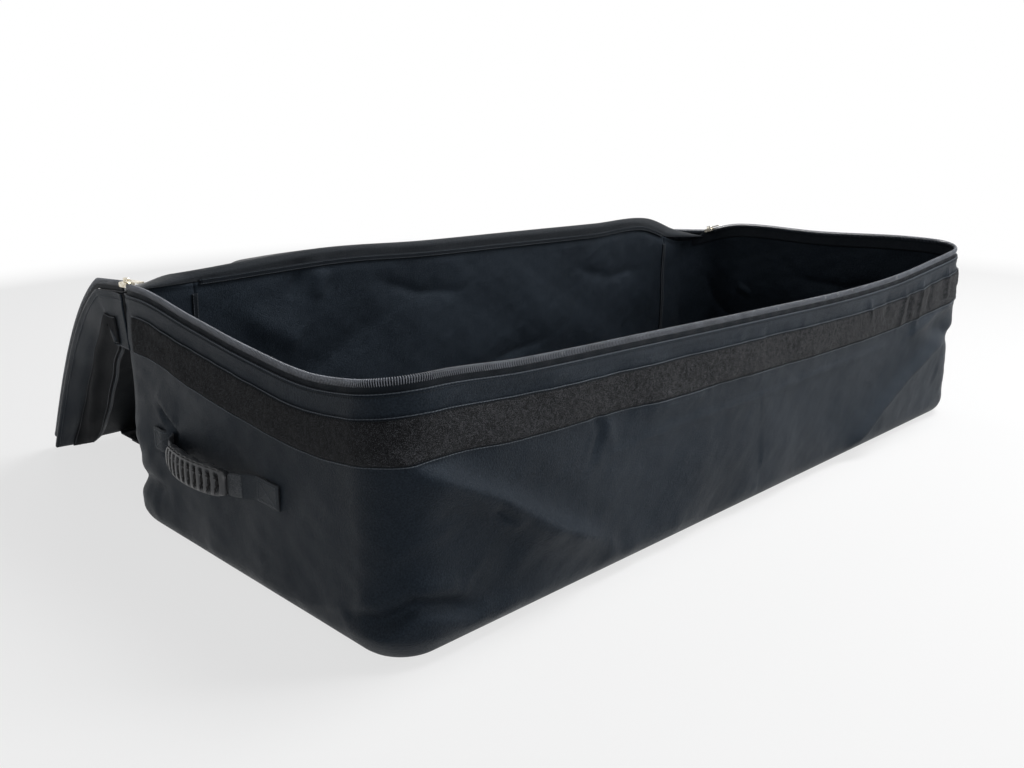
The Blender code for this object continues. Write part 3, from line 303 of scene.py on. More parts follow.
def plan_points(s, inset, height):
    """Points at arc lengths s round the plan, moved in by inset, at a height."""
    point, normal = plan(s)
    inset, height = ((v + 0 * s)[:, None] for v in (inset, height))
    return np.concatenate((point - normal * inset, height), axis=1)


KNOTS = sorted((arc_at(side, place) % ROUND, height) for side, place, height in RIM_HEIGHTS)
KNOTS = np.array([(s - ROUND, z) for s, z in KNOTS[-2:]] + KNOTS + [(s + ROUND, z) for s, z in KNOTS[:2]])


def rim(s):
    """Height of the zip's crest: a smooth closed curve through the rim's heights."""
    arcs, heights = KNOTS.T
    s = np.mod(np.asarray(s, float), ROUND)
    i = np.clip(np.searchsorted(arcs, s, side="right") - 1, 1, len(arcs) - 3)
    span = arcs[i + 1] - arcs[i]
    t = (s - arcs[i]) / span
    slope_in = (heights[i + 1] - heights[i - 1]) / (arcs[i + 1] - arcs[i - 1]) * span
    slope_out = (heights[i + 2] - heights[i]) / (arcs[i + 2] - arcs[i]) * span
    return ((2 * t**3 - 3 * t**2 + 1) * heights[i] + (t**3 - 2 * t**2 + t) * slope_in
            + (3 * t**2 - 2 * t**3) * heights[i + 1] + (t**3 - t**2) * slope_out)


def rear_rise(x):
    """How far the lid's cloth stands above its seam, at x along the rear wall."""
    beyond = (np.abs(x) - REAR_RISE_HALF) / (FLAT_X - REAR_RISE_HALF)
    return REAR_RISE + (TAPE_STAND - REAR_RISE) * smooth(beyond)


def wall_edge(s):
    """Height of the wall's top edge: below the zip, or below the lid's fold at the rear."""
    s = np.mod(np.asarray(s, float), ROUND)
    at_rear = (s < TO_REAR_LEFT) | (s > TO_REAR)
    x = np.where(s < TO_REAR_LEFT, s, ROUND - s)
    return rim(s) - np.where(at_rear, rear_rise(x), TAPE_STAND)


def ridge(s, z, kind, width, height, lean, points):
    """One fold: its push at places (s, z) of the cloth laid flat, seen from outside."""
    points = np.array(points, float)
    runs = np.linalg.norm(np.diff(points, axis=0), axis=1)
    near = np.full(s.shape, 1e9)
    along, right, passed = np.zeros(s.shape), np.zeros(s.shape), 0.0
    for a, b, run in zip(points[:-1], points[1:], runs):
        way = (b - a) / run
        t = np.clip((s - a[0]) * way[0] + (z - a[1]) * way[1], 0.0, run)
        gap_s, gap_z = s - a[0] - t * way[0], z - a[1] - t * way[1]
        gap = np.hypot(gap_s, gap_z)
        closer = gap < near
        near = np.where(closer, gap, near)
        along = np.where(closer, (passed + t) / runs.sum(), along)
        right = np.where(closer, way[1] * gap_s - way[0] * gap_z, right)
        passed += run
    wide = width * (1.0 + lean * np.sign(right) * smooth(np.abs(right) / width * 4))
    fade = 0.35 + 0.65 * smooth(5 * np.minimum(along, 1 - along))
    if kind == "crest":
        tip = 0.22 * wide
        shape = np.exp(-(np.sqrt(near**2 + tip**2) - tip) / (0.62 * wide))
    else:
        shape = np.exp(-((near / wide) ** 2))
    if kind == "slit":
        shape = shape - 0.34 * np.exp(-(((near - 1.9 * wide) / wide) ** 2))
    return height * fade * shape


def hills(s, z, seed, size):
    """Even, seeded unevenness between about -1 and 1, as a sum of slanted waves of about one size."""
    source = np.random.default_rng(seed)
    total = np.zeros(np.broadcast(s, z).shape)
    for _ in range(9):
        turn = source.uniform(0, math.pi)
        length = size * source.uniform(0.7, 1.6)
        phase = source.uniform(0, 2 * math.pi)
        total += np.sin((s * math.cos(turn) + z * math.sin(turn)) * 2 * math.pi / length + phase)
    return total / 4.0


def wall_push(s, z):
    """Outward displacement of the wall at places (s, z)."""
    s, z = np.broadcast_arrays(np.asarray(s, float), np.asarray(z, float))
    front = np.mod(s, ROUND)
    rear = np.mod(s + ROUND / 2, ROUND) - ROUND / 2
    push = (0.0016 * hills(rear, z, 3, 0.130) + 0.00045 * hills(rear, z, 5, 0.036)
            + 0.00016 * hills(rear, z, 6, 0.014))
    for side, folds in FOLDS:
        for *shape, points in folds:
            line = [(arc_at(side, place), level) for place, level in points]
            push = push + ridge(rear if side == "rear" else front, z, *shape, line)
    ease = smooth(z / FLOOR_RADIUS - 0.15) * smooth((wall_edge(s) - z) / EDGE_CALM)
    return push * ease


def wall_at(s, z, out=0.0):
    """Points of the wall's outer face at places (s, z), moved out by out."""
    s, z, out = np.broadcast_arrays(*(np.asarray(v, float) for v in (s, z, out)))
    point, normal = plan(s.ravel())
    round_in = np.clip(FLOOR_RADIUS - z.ravel(), 0.0, FLOOR_RADIUS)
    inset = FLOOR_RADIUS - np.sqrt(np.maximum(FLOOR_RADIUS**2 - round_in**2, 0.0))
    moved = point + normal * (wall_push(s.ravel(), z.ravel()) - inset + out.ravel())[:, None]
    return np.concatenate((moved, z.ravel()[:, None]), axis=1).reshape(s.shape + (3,))


def normals_of(grid, closed=False):
    """Unit normals of a grid of points whose rows go up and whose columns go right, seen from outside."""
    across = np.roll(grid, -1, axis=1) - np.roll(grid, 1, axis=1) if closed else np.gradient(grid, axis=1)
    return unit(np.cross(across, np.gradient(grid, axis=0)))


def put(name, data):
    """Put a mesh, lamp or camera in the scene."""
    made = bpy.data.objects.new(name, data)
    bpy.context.scene.collection.objects.link(made)
    return made


def link(name, mesh, finish, body="root"):
    """Put a mesh in the scene on one CAD body, with one material and smooth faces."""
    mesh.materials.append(finish)
    mesh.polygons.foreach_set("use_smooth", np.ones(len(mesh.polygons), bool))
    made = put(name, mesh)
    if body:
        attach(made, body)
    return made


def mesh_of(name, points, faces, flat=None):
    """Mesh of points and faces; flat gives each point's place on the cloth laid flat, in metres."""
    mesh = bpy.data.meshes.new(name)
    mesh.from_pydata(np.asarray(points, float).tolist(), [], np.asarray(faces).tolist())
    if flat is not None:
        layer = mesh.uv_layers.new(name="flat")
        corner = np.zeros(len(mesh.loops), int)
        mesh.loops.foreach_get("vertex_index", corner)
        layer.data.foreach_set("uv", flat[corner].astype(np.float32).ravel())
    mesh.update()
    return mesh


def lengths(line):
    """Distance of each point along a line of points."""
    return np.concatenate(([0.0], np.cumsum(np.linalg.norm(np.diff(line, axis=0), axis=1))))


def sheet(name, grid, thickness, finish, node, body="root", closed=False, fuzz=0.0):
    """Closed cloth piece of even thickness whose outer face is the grid, in place of a CAD node."""
    rows, columns, _ = grid.shape
    normal = normals_of(grid, closed)
    inner = grid - normal * thickness
    if fuzz:
        grid = grid + normal * random.uniform(-fuzz, fuzz, (rows, columns, 1))
    points = np.concatenate((grid.reshape(-1, 3), inner.reshape(-1, 3)))
    index = np.arange(rows * columns).reshape(rows, columns)
    if closed:
        index = np.concatenate((index, index[:, :1]), axis=1)
    front = np.stack((index[:-1, :-1], index[:-1, 1:], index[1:, 1:], index[1:, :-1]), axis=-1).reshape(-1, 4)
    back = rows * columns
    low, high, first, last = index[0], index[-1], index[:, 0], index[:, -1]
    edges = [(low[1:], low[:-1]), (high[:-1], high[1:])]
    if not closed:
        edges += [(first[:-1], first[1:]), (last[1:], last[:-1])]
    faces = [front, front[:, ::-1] + back] + [np.stack((a, b, b + back, a + back), axis=-1) for a, b in edges]
    across, up = lengths(grid[rows // 2]), lengths(grid[:, columns // 2])
    flat = np.stack(np.broadcast_arrays(across[None, :], up[:, None]), axis=-1).reshape(-1, 2)
    mesh = mesh_of(name, points, np.concatenate(faces), np.concatenate((flat, flat)))
    made = link(name, mesh, finish, body)
    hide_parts(node)
    return made


def copies(name, template, faces, places, frames, finish, slot, body="root", node=None):
    """One mesh of many copies of a small template, each put at a place in its own frame (three axes)."""
    points = np.einsum("vk,nkc->nvc", np.array(template, float), frames) + places[:, None, :]
    shift = (np.arange(len(points)) * len(template))[:, None, None]
    mesh = mesh_of(name, points.reshape(-1, 3), (np.array(faces)[None] + shift).reshape(-1, len(faces[0])))
    made = link(name, mesh, finish, body)
    if node:
        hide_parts(node)
    return made


def rod(points, radius, sides=6, flatten=1.0):
    """Template of a short bent rod with closed ends: points and four-cornered faces."""
    points = np.array(points, float)
    rings, faces = [], []
    for k, centre in enumerate(points):
        way = unit(points[min(k + 1, len(points) - 1)] - points[max(k - 1, 0)])
        side = unit(np.cross(way, (1.0, 0.0, 0.0) if abs(way[0]) < 0.9 else (0.0, 1.0, 0.0)))
        other = np.cross(way, side)
        size = radius * (0.45 if k in (0, len(points) - 1) else 1.0)
        for j in range(sides):
            turn = 2 * math.pi * (j + 0.5) / sides
            rings.append(centre + side * math.cos(turn) * size + other * math.sin(turn) * size * flatten)
    for k in range(len(points) - 1):
        for j in range(sides):
            a, b = k * sides + j, k * sides + (j + 1) % sides
            faces.append((a, b, b + sides, a + sides))
    for base in (0, (len(points) - 1) * sides):
        faces.append((base, base + 1, base + 2, base + 3))
        if sides == 6:
            faces.append((base, base + 3, base + 4, base + 5))
    return rings, faces


def follow(marks, runs, values):
    """Values, given at the distances runs, worked out at the distances marks."""
    return np.stack([np.interp(marks, runs, values[:, k]) for k in range(3)], axis=-1)


def resample(points, step):
    """Places along a line of points at even steps, the line's direction there, and their distances."""
    runs = lengths(points)
    marks = np.arange(step / 2, runs[-1], step)
    way = follow(marks + step / 2, runs, points) - follow(marks - step / 2, runs, points)
    return follow(marks, runs, points), unit(way), marks, runs


def stitches(name, line, outs, finish, pitch=0.0036, length=0.0027, width=0.00034):
    """Row of sewn stitches along a line of points; outs are the directions out of the cloth."""
    places, way, marks, runs = resample(line, pitch)
    out = follow(marks, runs, np.broadcast_to(outs, line.shape))
    side = unit(np.cross(way, out))
    out = np.cross(side, way)
    way = way + side * random.uniform(-0.06, 0.06, (len(places), 1))
    bends = ((-0.5, -0.0002), (-0.275, width * 0.7), (0.275, width * 0.7), (0.5, -0.0002))
    thread = rod([(length * share, 0.0, height) for share, height in bends], width, 4)
    return copies(name, *thread, places, np.stack((way, side, out), axis=1), finish, "webbing")


class Nodes:
    """Short way to add and join the nodes of one material or world."""

    def __init__(self, owner):
        self.owner = owner
        owner.use_nodes = True
        self.tree = owner.node_tree
        self.shader = self.tree.nodes.get("Principled BSDF")

    def give(self, node, inputs):
        """Set a node's inputs to plain values, or join them to the outputs of other nodes."""
        for key, value in inputs.items():
            if isinstance(value, bpy.types.NodeSocket):
                self.tree.links.new(value, node.inputs[key])
            else:
                node.inputs[key].default_value = value

    def add(self, kind, inputs=(), **settings):
        node = self.tree.nodes.new(kind)
        for key, value in settings.items():
            setattr(node, key, value)
        self.give(node, dict(inputs))
        return node

    def math(self, operation, first, second=0.0):
        return self.add("ShaderNodeMath", {0: first, 1: second}, operation=operation).outputs[0]

    def mixed(self, first, share, second):
        """Weighted sum of two values, the first with the given share."""
        return self.math("ADD", self.math("MULTIPLY", first, share), self.math("MULTIPLY", second, 1 - share))

    def noise(self, vector, scale, detail=3.0, roughness=0.5):
        return self.add("ShaderNodeTexNoise", {"Vector": vector, "Scale": scale, "Detail": detail,
                                               "Roughness": roughness}).outputs["Fac"]

    def spread(self, value, low, high):
        return self.add("ShaderNodeMapRange", {"Value": value, "From Min": 0.3, "From Max": 0.7,
                                               "To Min": low, "To Max": high}).outputs["Result"]

    def ramp(self, value, stops):
        node = self.add("ShaderNodeValToRGB", {"Fac": value})
        elements = node.color_ramp.elements
        while len(elements) < len(stops):
            elements.new(0.5)
        for element, (place, colour) in zip(elements, stops):
            element.position = place
            element.color = (*colour, 1.0)
        return node.outputs["Color"]

    def bump(self, height, distance, strength, normal=None):
        inputs = {"Height": height, "Distance": distance, "Strength": strength}
        if normal is not None:
            inputs["Normal"] = normal
        return self.add("ShaderNodeBump", inputs).outputs["Normal"]

    def places(self):
        """Each point's place on the cloth laid flat, and in the piece's own frame."""
        outputs = self.add("ShaderNodeTexCoord").outputs
        return outputs["UV"], outputs["Object"]


def weave_height(nodes, flat, pitch, twill):
    """Height of a plain weave or a twill: threads that pass over and under, pitch apart."""
    split = nodes.add("ShaderNodeSeparateXYZ", {"Vector": flat})
    u, v = (nodes.math("MULTIPLY", split.outputs[axis], 2 * math.pi / pitch) for axis in ("X", "Y"))
    if twill:
        slant = nodes.math("SINE", nodes.math("ADD", u, v))
        cross = nodes.math("SINE", nodes.math("MULTIPLY", v, 2.0))
        return nodes.math("ADD", slant, nodes.math("MULTIPLY", cross, 0.4))
    return nodes.math("MULTIPLY", nodes.math("SINE", u), nodes.math("SINE", v))


def cloth_material(name, dark, light, rough, pitch, weave, wrinkle, sheen, twill=False, specular=0.5,
                   tint=(0.72, 0.86, 1.0), coarse=0.0):
    """Woven coated cloth: weave and small wrinkles in its bump, uneven colour and gloss."""
    nodes = Nodes(bpy.data.materials.new(name))
    flat, solid = nodes.places()
    mixed = nodes.mixed(nodes.noise(solid, 6.0, 4.0), 0.38, nodes.noise(solid, 620.0, 1.0))
    soft = nodes.bump(nodes.noise(solid, 26.0, 5.0, 0.6), wrinkle, 0.5)
    soft = nodes.bump(nodes.noise(solid, 520.0, 2.0, 0.6), coarse, 0.6, soft)
    nodes.give(nodes.shader, {
        "Base Color": nodes.ramp(mixed, ((0.36, dark), (0.64, light))),
        "Roughness": nodes.spread(nodes.noise(solid, 14.0, 3.0), rough - 0.05, rough + 0.06),
        "Normal": nodes.bump(weave_height(nodes, flat, pitch, twill), weave, 0.55, soft),
        "Sheen Weight": sheen, "Sheen Roughness": 0.4, "Specular IOR Level": specular,
        "Specular Tint": (*tint, 1.0)})
    return nodes.owner


def pile_material(name, dark, light, size, depth):
    """Hook or loop pile: speckled, rough, with loops as deep bump."""
    nodes = Nodes(bpy.data.materials.new(name))
    solid = nodes.places()[1]
    mixed = nodes.mixed(nodes.noise(solid, 1.0 / size, 2.0, 0.7), 0.88, nodes.noise(solid, 0.15 / size, 2.0))
    nodes.give(nodes.shader, {
        "Base Color": nodes.ramp(mixed, ((0.40, dark), (0.50, dark), (0.66, light))),
        "Normal": nodes.bump(mixed, depth, 0.9),
        "Roughness": 0.92, "Sheen Weight": 0.05, "Specular IOR Level": 0.15})
    return nodes.owner


def plastic_material(name, colour, rough, grain, depth):
    """Moulded rubber or nylon: fine grain and slightly uneven gloss."""
    nodes = Nodes(bpy.data.materials.new(name))
    solid = nodes.places()[1]
    stops = [(place, tuple(share * c for c in colour)) for place, share in ((0.35, 0.82), (0.65, 1.2))]
    nodes.give(nodes.shader, {
        "Roughness": nodes.spread(nodes.noise(solid, 60.0, 4.0), rough - 0.07, rough + 0.09),
        "Base Color": nodes.ramp(nodes.noise(solid, 40.0, 4.0), stops),
        "Normal": nodes.bump(nodes.noise(solid, grain, 2.0), depth, 0.5)})
    return nodes.owner


def metal_material(name, colour, worn):
    """Plated die-cast metal: brushed gloss that is worn in small patches."""
    nodes = Nodes(bpy.data.materials.new(name))
    solid = nodes.places()[1]
    nodes.give(nodes.shader, {
        "Base Color": nodes.ramp(nodes.noise(solid, 320.0, 5.0, 0.6), ((0.40, worn), (0.58, colour))),
        "Roughness": nodes.spread(nodes.noise(solid, 500.0, 3.0), 0.22, 0.42),
        "Normal": nodes.bump(nodes.noise(solid, 900.0, 2.0), 0.00006, 0.5),
        "Metallic": 1.0})
    return nodes.owner


CANVAS = cloth_material("bag_cloth", (0.0062, 0.0088, 0.0128), (0.0182, 0.0240, 0.0322), 0.42, 0.0013,
                        0.00020, 0.0014, 0.02, specular=0.10, tint=(0.62, 0.80, 1.0), coarse=0.0011)
LINING = cloth_material("bag_lining", (0.0096, 0.0112, 0.0138), (0.0190, 0.0214, 0.0250), 0.44, 0.0013,
                        0.00016, 0.0018, 0.04, specular=0.10, tint=(0.80, 0.90, 1.0), coarse=0.0009)
WEBBING = cloth_material("webbing", (0.0065, 0.0075, 0.0092), (0.0230, 0.0245, 0.0275), 0.58, 0.0016, 0.00045,
                         0.0003, 0.05, twill=True, specular=0.35)
TAPE = cloth_material("zip_tape", (0.0030, 0.0040, 0.0058), (0.0080, 0.0098, 0.0128), 0.55, 0.0009, 0.00016,
                      0.0004, 0.03, twill=True, specular=0.12)
# Strap webbing between the grip and its sewn ends: the same webbing as those ends, painted lighter as the light
# that falls on it.
STRAP_PAINTED_LIGHT = cloth_material("strap_webbing_painted_light", (0.0150, 0.0158, 0.0175), (0.0950, 0.0975, 0.1030), 0.58, 0.0022,
                       0.00060, 0.0003, 0.10, twill=True, specular=0.4)
# Stitching thread: real dark thread, coloured grey as a painted sheen where it catches light.
THREAD_PAINTED_SHEEN = cloth_material("thread", (0.040, 0.045, 0.053), (0.075, 0.083, 0.096), 0.44, 0.0006, 0.00010,
                        0.0001, 0.1)
DARK_THREAD = cloth_material("dark_thread", (0.0020, 0.0022, 0.0026), (0.0050, 0.0055, 0.0064), 0.60, 0.0006,
                             0.00010, 0.0001, 0.0, specular=0.2)
# Cords along the hem's fold and the loop strip's edges: lighter than the cloth, a painted highlight where these
# edges catch light.
EDGE_PAINTED_HIGHLIGHT = cloth_material("woven_edge_painted_highlight", (0.020, 0.024, 0.031), (0.046, 0.053, 0.064), 0.50, 0.0008, 0.00012,
                      0.0001, 0.05)
LOOPS = pile_material("loop_pile", (0.0015, 0.0018, 0.0025), (0.085, 0.089, 0.098), 0.0008, 0.0007)
HOOKS = pile_material("hook_tape", (0.0040, 0.0050, 0.0068), (0.0150, 0.0172, 0.0212), 0.0010, 0.0008)
# Zip teeth: the coil's own colour lightened as a painted highlight on the teeth's tops.
TEETH_PAINTED_HIGHLIGHT = plastic_material("zip_teeth", (0.125, 0.137, 0.162), 0.20, 1500.0, 0.00002)
RUBBER = plastic_material("grip_rubber", (0.034, 0.036, 0.040), 0.40, 1200.0, 0.00005)
# Slots and holes of the grip: the same rubber painted near black, as painted shade in these recesses.
SHADED_RUBBER = plastic_material("grip_slots_painted_shade", (0.0025, 0.0026, 0.0030), 0.75, 1200.0, 0.00005)
METAL = metal_material("zip_metal", (0.80, 0.76, 0.66), (0.52, 0.46, 0.34))


def wall_grid(s):
    """Outer face of the wall, from its turned-under edge to its hem, as rows going up."""
    edge = wall_edge(s)
    under = [plan_points(s, inset, 0.0) for inset in np.linspace(TURN_UNDER, FLOOR_RADIUS, 4)[:-1]]
    round_up = FLOOR_RADIUS * (1 - np.cos(np.linspace(0.0, math.pi / 2, 9)))[:, None] + 0 * s
    upright = FLOOR_RADIUS + (edge - FLOOR_RADIUS) * np.linspace(0.0, 1.0, WALL_ROWS + 1)[1:, None]
    z = np.concatenate((round_up, upright))
    hem = HEM_STEP * smooth((z - edge + HEM_DEPTH) / 0.002) - HEM_ROUND * smooth((z - edge + 0.003) / 0.003)
    return np.concatenate((np.array(under), wall_at(s[None, :], z, hem)))


def build_base():
    """Base cloth with soft unevenness, and the binding over its seam."""
    x = centred(HALF_LENGTH - TURN_UNDER - SEAT, 0.008)[None, :]
    y = centred(HALF_WIDTH - TURN_UNDER - SEAT, 0.008)[:, None]
    ease = smooth((x[0, -1] - np.abs(x)) / 0.05) * smooth((y[-1, 0] - np.abs(y)) / 0.05)
    lift = ease * 0.0011 * (1.0 + hills(x, y, 11, 0.16)) + ease * 0.0003 * hills(x, y, 12, 0.04)
    grid = np.stack((*np.broadcast_arrays(x, y), CLOTH + np.maximum(lift, 0.0)), axis=-1)
    sheet("base_cloth", grid, CLOTH, LINING, "base_panel")

    s = between(0.0, ROUND, 0.005)[:-1]
    top = CLOTH + SEAT + BINDING_THICKNESS
    rows = [plan_points(s, TURN_UNDER + SEAT / 2 + share * BINDING_WIDTH,
                        top - 0.0008 * (2 * share) ** 4 + 0.0002 * np.sin(s * 500))
            for share in np.linspace(-0.5, 0.5, 5)]
    sheet("base_seam_tape", np.array(rows), BINDING_THICKNESS, TAPE, "base_binding", closed=True)
    for k, share in enumerate((-0.34, 0.34)):
        stitches(f"base_stitch_{k}", rows[2] - outward(s) * share * BINDING_WIDTH, UP, THREAD_PAINTED_SHEEN)


def build_tub():
    """Wall cloth, base, bindings, and the stitching that shows on them."""
    band = wall_grid(between(REAR_SEAM_X + SEAT / 2, ROUND - REAR_SEAM_X - SEAT / 2, WALL_STEP))
    sheet("wall_cloth", band, CLOTH, CANVAS, "wall_band")
    rear = wall_grid(centred(REAR_SEAM_X - SEAT / 2, WALL_STEP))
    sheet("rear_cloth", rear, CLOTH, CANVAS, "rear_panel")
    build_base()
    inward = -(CLOTH + SEAM_TAPE_ROOM)
    wide = np.linspace(-BINDING_WIDTH / 2, BINDING_WIDTH / 2, 7)
    for side, middle in (("left", REAR_SEAM_X), ("right", ROUND - REAR_SEAM_X)):
        up = np.linspace(0.032, float(wall_edge(middle)) - 0.014, 60)
        grid = wall_at(middle + wide[None, :], up[:, None], inward)
        sheet(f"upright_tape_{side}", grid, BINDING_THICKNESS, TAPE, f"seam_tape_{side}")
        for k in (1, 5):
            line = wall_at(middle + wide[k], up, inward - BINDING_THICKNESS)
            stitches(f"upright_stitch_{side}_{k}", line, -outward(middle)[0], THREAD_PAINTED_SHEEN)

    s = centred(REAR_SEAM_X - BINDING_WIDTH, 0.006)
    middle = wall_at(s, wall_edge(s) - 0.0001, -(CLOTH + 2 * SEAT))
    rises = np.linspace(-BINDING_WIDTH / 2, BINDING_WIDTH / 2, 5)
    grid = np.array([middle + UP * rise for rise in rises])
    sheet("rear_seam_tape", grid, BINDING_THICKNESS, TAPE, "rear_seam_binding")
    for k, rise in ((0, 0.0015), (4, -0.0015)):
        line = grid[k] + np.array((0.0, -BINDING_THICKNESS, rise))
        stitches(f"rear_seam_stitch_{k}", line, (0.0, -1.0, 0.0), THREAD_PAINTED_SHEEN)


HALF_TOOTH = ((0.0, 0.0015, -0.0042), (0.00022, 0.0022, -0.0008), (0.0002, 0.0019, 0.0015),
              (0.0, 0.0009, 0.0027))
TOOTH = rod([*HALF_TOOTH, *((-x, -y, z) for x, y, z in HALF_TOOTH[::-1])], 0.00054, 6, 1.15)


def teeth(name, line, outs, ups, node):
    """Coil of a zip along a line: one bent loop for each tooth."""
    places, way, marks, runs = resample(line, TEETH_PITCH)
    out = follow(marks, runs, outs)
    out = unit(out - way * (out * way).sum(axis=1, keepdims=True))
    up = np.cross(way, out)
    up *= np.sign((up * ups[0]).sum(axis=1, keepdims=True) + 1e-9)
    return copies(name, *TOOTH, places, np.stack((way, out, up), axis=1), TEETH_PAINTED_HIGHLIGHT, "zip_teeth", node=node)


def build_tub_zip():
    """Zip tape that stands over the wall's hem, its teeth, and the row of stitching under them."""
    inset = CLOTH + SEAT
    s = between(TO_REAR_LEFT + 0.030, TO_REAR - 0.030, ZIP_STEP)
    tail = smooth((s - s[0]) / 0.03) * smooth((s[-1] - s) / 0.03)
    low, high = wall_edge(s) - TAPE_OVERLAP, rim(s) - COIL_HEIGHT * TAPE_IN_COIL - 0.009 * (1 - tail)
    rows = []
    for share in np.linspace(0.0, 1.0, 8):
        lean = 0.0005 * np.sin(s * 210.0) * share + 0.0003 * math.sin(share * math.pi)
        rows.append(plan_points(s, inset - lean, low + (high - low) * share))
    sheet("tub_tape", np.array(rows), TAPE_THICKNESS, TAPE, "tub_zip_tape")

    s = between(ZIP_START + SLIDER_LENGTH / 2, ZIP_END - SLIDER_LENGTH / 2, ZIP_STEP)
    line = plan_points(s, inset + TAPE_THICKNESS / 2, rim(s) - COIL_HEIGHT / 2)
    teeth("tub_teeth", line, outward(s), [UP], "tub_zip_coil")
    cord = plan_points(s, inset, rim(s) - COIL_HEIGHT - 0.0004)
    stitches("teeth_stitch", cord, outward(s), THREAD_PAINTED_SHEEN, 0.0024, 0.0019, 0.00022)

    s = between(TO_REAR_LEFT, TO_REAR, ZIP_STEP)
    line = wall_at(s, wall_edge(s) - 0.0034, HEM_STEP)
    stitches("hem_stitch", line, outward(s), DARK_THREAD, width=0.00042)
    # Cord along the hem's fold, lighter than the wall: painted highlight.
    line = wall_at(s, wall_edge(s) - 0.0006, HEM_STEP - 0.0009)
    stitches("hem_edge_painted_highlight", line, outward(s), EDGE_PAINTED_HIGHLIGHT, 0.0040, 0.0047, 0.00062)


def build_loop_strip():
    """Loop strip on the front and both ends: woven base, fuzzy pile, and two rows of stitching."""
    s = between(arc_at("left", STRIP_END), arc_at("right", STRIP_END), 0.0022)[None, :]
    shares = np.linspace(0.0, 1.0, 25)[:, None]
    z = wall_edge(s) - STRIP_BELOW_EDGE - STRIP_WIDTH + STRIP_WIDTH * shares
    rows = [0, 1, 3, 6, 9, 12, 15, 18, 21, 23, 24]
    base = wall_at(s, z[rows], SEAT + LOOP_BASE - 0.0003 * (np.abs(shares[rows] - 0.5) > 0.49))
    sheet("loop_base", base[:, ::2], LOOP_BASE, TAPE, "loop_strip")
    crown = 0.0006 * smooth(6 * np.minimum(shares[1:-1], 1 - shares[1:-1])) + 0.0010
    pile = wall_at(s, z[1:-1], SEAT + LOOP_PILE + crown)
    sheet("loop_pile", pile, LOOP_PILE, LOOPS, "loop_strip", fuzz=LOOP_FUZZ)
    s = s[0, ::2]
    for name, share, way in (("low", 0.035, -1), ("high", 0.965, 1)):
        height = wall_edge(s) - STRIP_BELOW_EDGE - STRIP_WIDTH * (1 - share)
        line = wall_at(s, height, SEAT + 0.0016)
        stitches(f"strip_stitch_{name}", line, outward(s), DARK_THREAD, width=0.00042)
        # Cords at the strip's edges, lighter than the strip: painted highlight.
        edge = wall_at(s, height + 0.0019 * way, SEAT + 0.0009)
        stitches(f"strip_edge_painted_highlight_{name}", edge, outward(s), EDGE_PAINTED_HIGHLIGHT, 0.0040, 0.0047, 0.00060)


def lid_path():
    """Shares of the lid's way across and down at even steps of its hanging length."""
    steps = 120
    k = np.arange(steps) / steps
    bent = np.exp(-LID_HANG * k / LID_STIFFNESS)
    slope = np.radians(LID_END_SLOPE - (LID_END_SLOPE - LID_START_SLOPE) * bent)
    y, z = (np.concatenate(([0.0], np.cumsum(part(slope)))) for part in (np.cos, np.sin))
    return np.linspace(0.0, 1.0, steps + 1), y / y[-1], z / z[-1]


LID_T, LID_Y, LID_Z = lid_path()
LID_START_Y = HALF_WIDTH + LID_FOLD_RADIUS - CLOTH


def lid_half_width(t):
    """Half the lid's width at share t of its hanging length."""
    return HALF_LENGTH - LID_SIDE_INSET - LID_LEAN * t


def lid_point(u, t):
    """Points of the hanging lid's inner face at shares u across and t down."""
    u, t = np.broadcast_arrays(np.asarray(u, float), np.asarray(t, float))
    crest = rim(-u * FLAT_X)
    x = u * lid_half_width(t)
    y = LID_START_Y + (LID_REACH - LID_START_Y) * np.interp(t, LID_T, LID_Y)
    z = crest + (LID_FLOOR - crest) * np.interp(t, LID_T, LID_Z)
    swell = LID_WAVE_HEIGHT * np.sin(math.pi * t) * np.sin(LID_WAVES * math.pi * u + LID_WAVE_PHASE)
    swell = swell * smooth((1.0 - np.abs(u)) / LID_WAVE_FADE)
    depth = t * LID_HANG
    push = 0.0008 * hills(x, depth, 21, 0.13) + 0.0003 * hills(x, depth, 22, 0.04)
    for fold in LID_FOLDS:
        push = push + ridge(x, depth, *fold)
    push = push * smooth((1.0 - np.abs(u)) / 0.03) * smooth(depth / 0.02) * smooth((1.0 - t) / 0.06)
    return np.stack((x, y + 0.8 * swell + 0.5 * push, z + 0.6 * swell + 0.85 * push), axis=-1)


def slider_frame(mirror):
    """Centre of a slider and the direction that it points in. mirror is -1 left, 1 right."""
    s = ZIP_START if mirror < 0 else ZIP_END
    height = rim(s) - COIL_HEIGHT / 2 + 2 * SEAT
    centre = plan_points(np.array([s]), CLOTH + SEAT + TAPE_THICKNESS / 2, height)[0]
    yaw = math.radians(SLIDER_YAW)
    climb = (rim(s - mirror * 0.030) - rim(s)) / 0.030
    return centre, unit(np.array((-mirror * math.sin(yaw), -math.cos(yaw), climb)))


def side_edge(mirror, t):
    """Line of the lid's side edge: from the slider at t = 0, over the corner, then down."""
    t = np.atleast_1d(np.asarray(t, float))
    centre, ahead = slider_frame(mirror)
    start = centre - ahead * (SLIDER_LENGTH / 2 + SLIDER_ROOM / 2)
    start[2] += COIL_HEIGHT / 2 - TAPE_STAND
    near = start + (lid_point(mirror, SIDE_JOIN) - start) * (t / SIDE_JOIN)[:, None]
    return np.where((t < SIDE_JOIN)[:, None], near, lid_point(mirror, t))


def side_normal(mirror, t):
    """Directions that the lid's inner face looks in along its side edge."""
    t = np.atleast_1d(np.asarray(t, float))
    along = side_edge(mirror, np.minimum(t + 0.04, 1.0)) - side_edge(mirror, np.maximum(t - 0.04, 0.0))
    slope = np.arctan2(-along[:, 2], along[:, 1])
    return np.stack((0 * slope, np.sin(slope), np.cos(slope)), axis=-1)


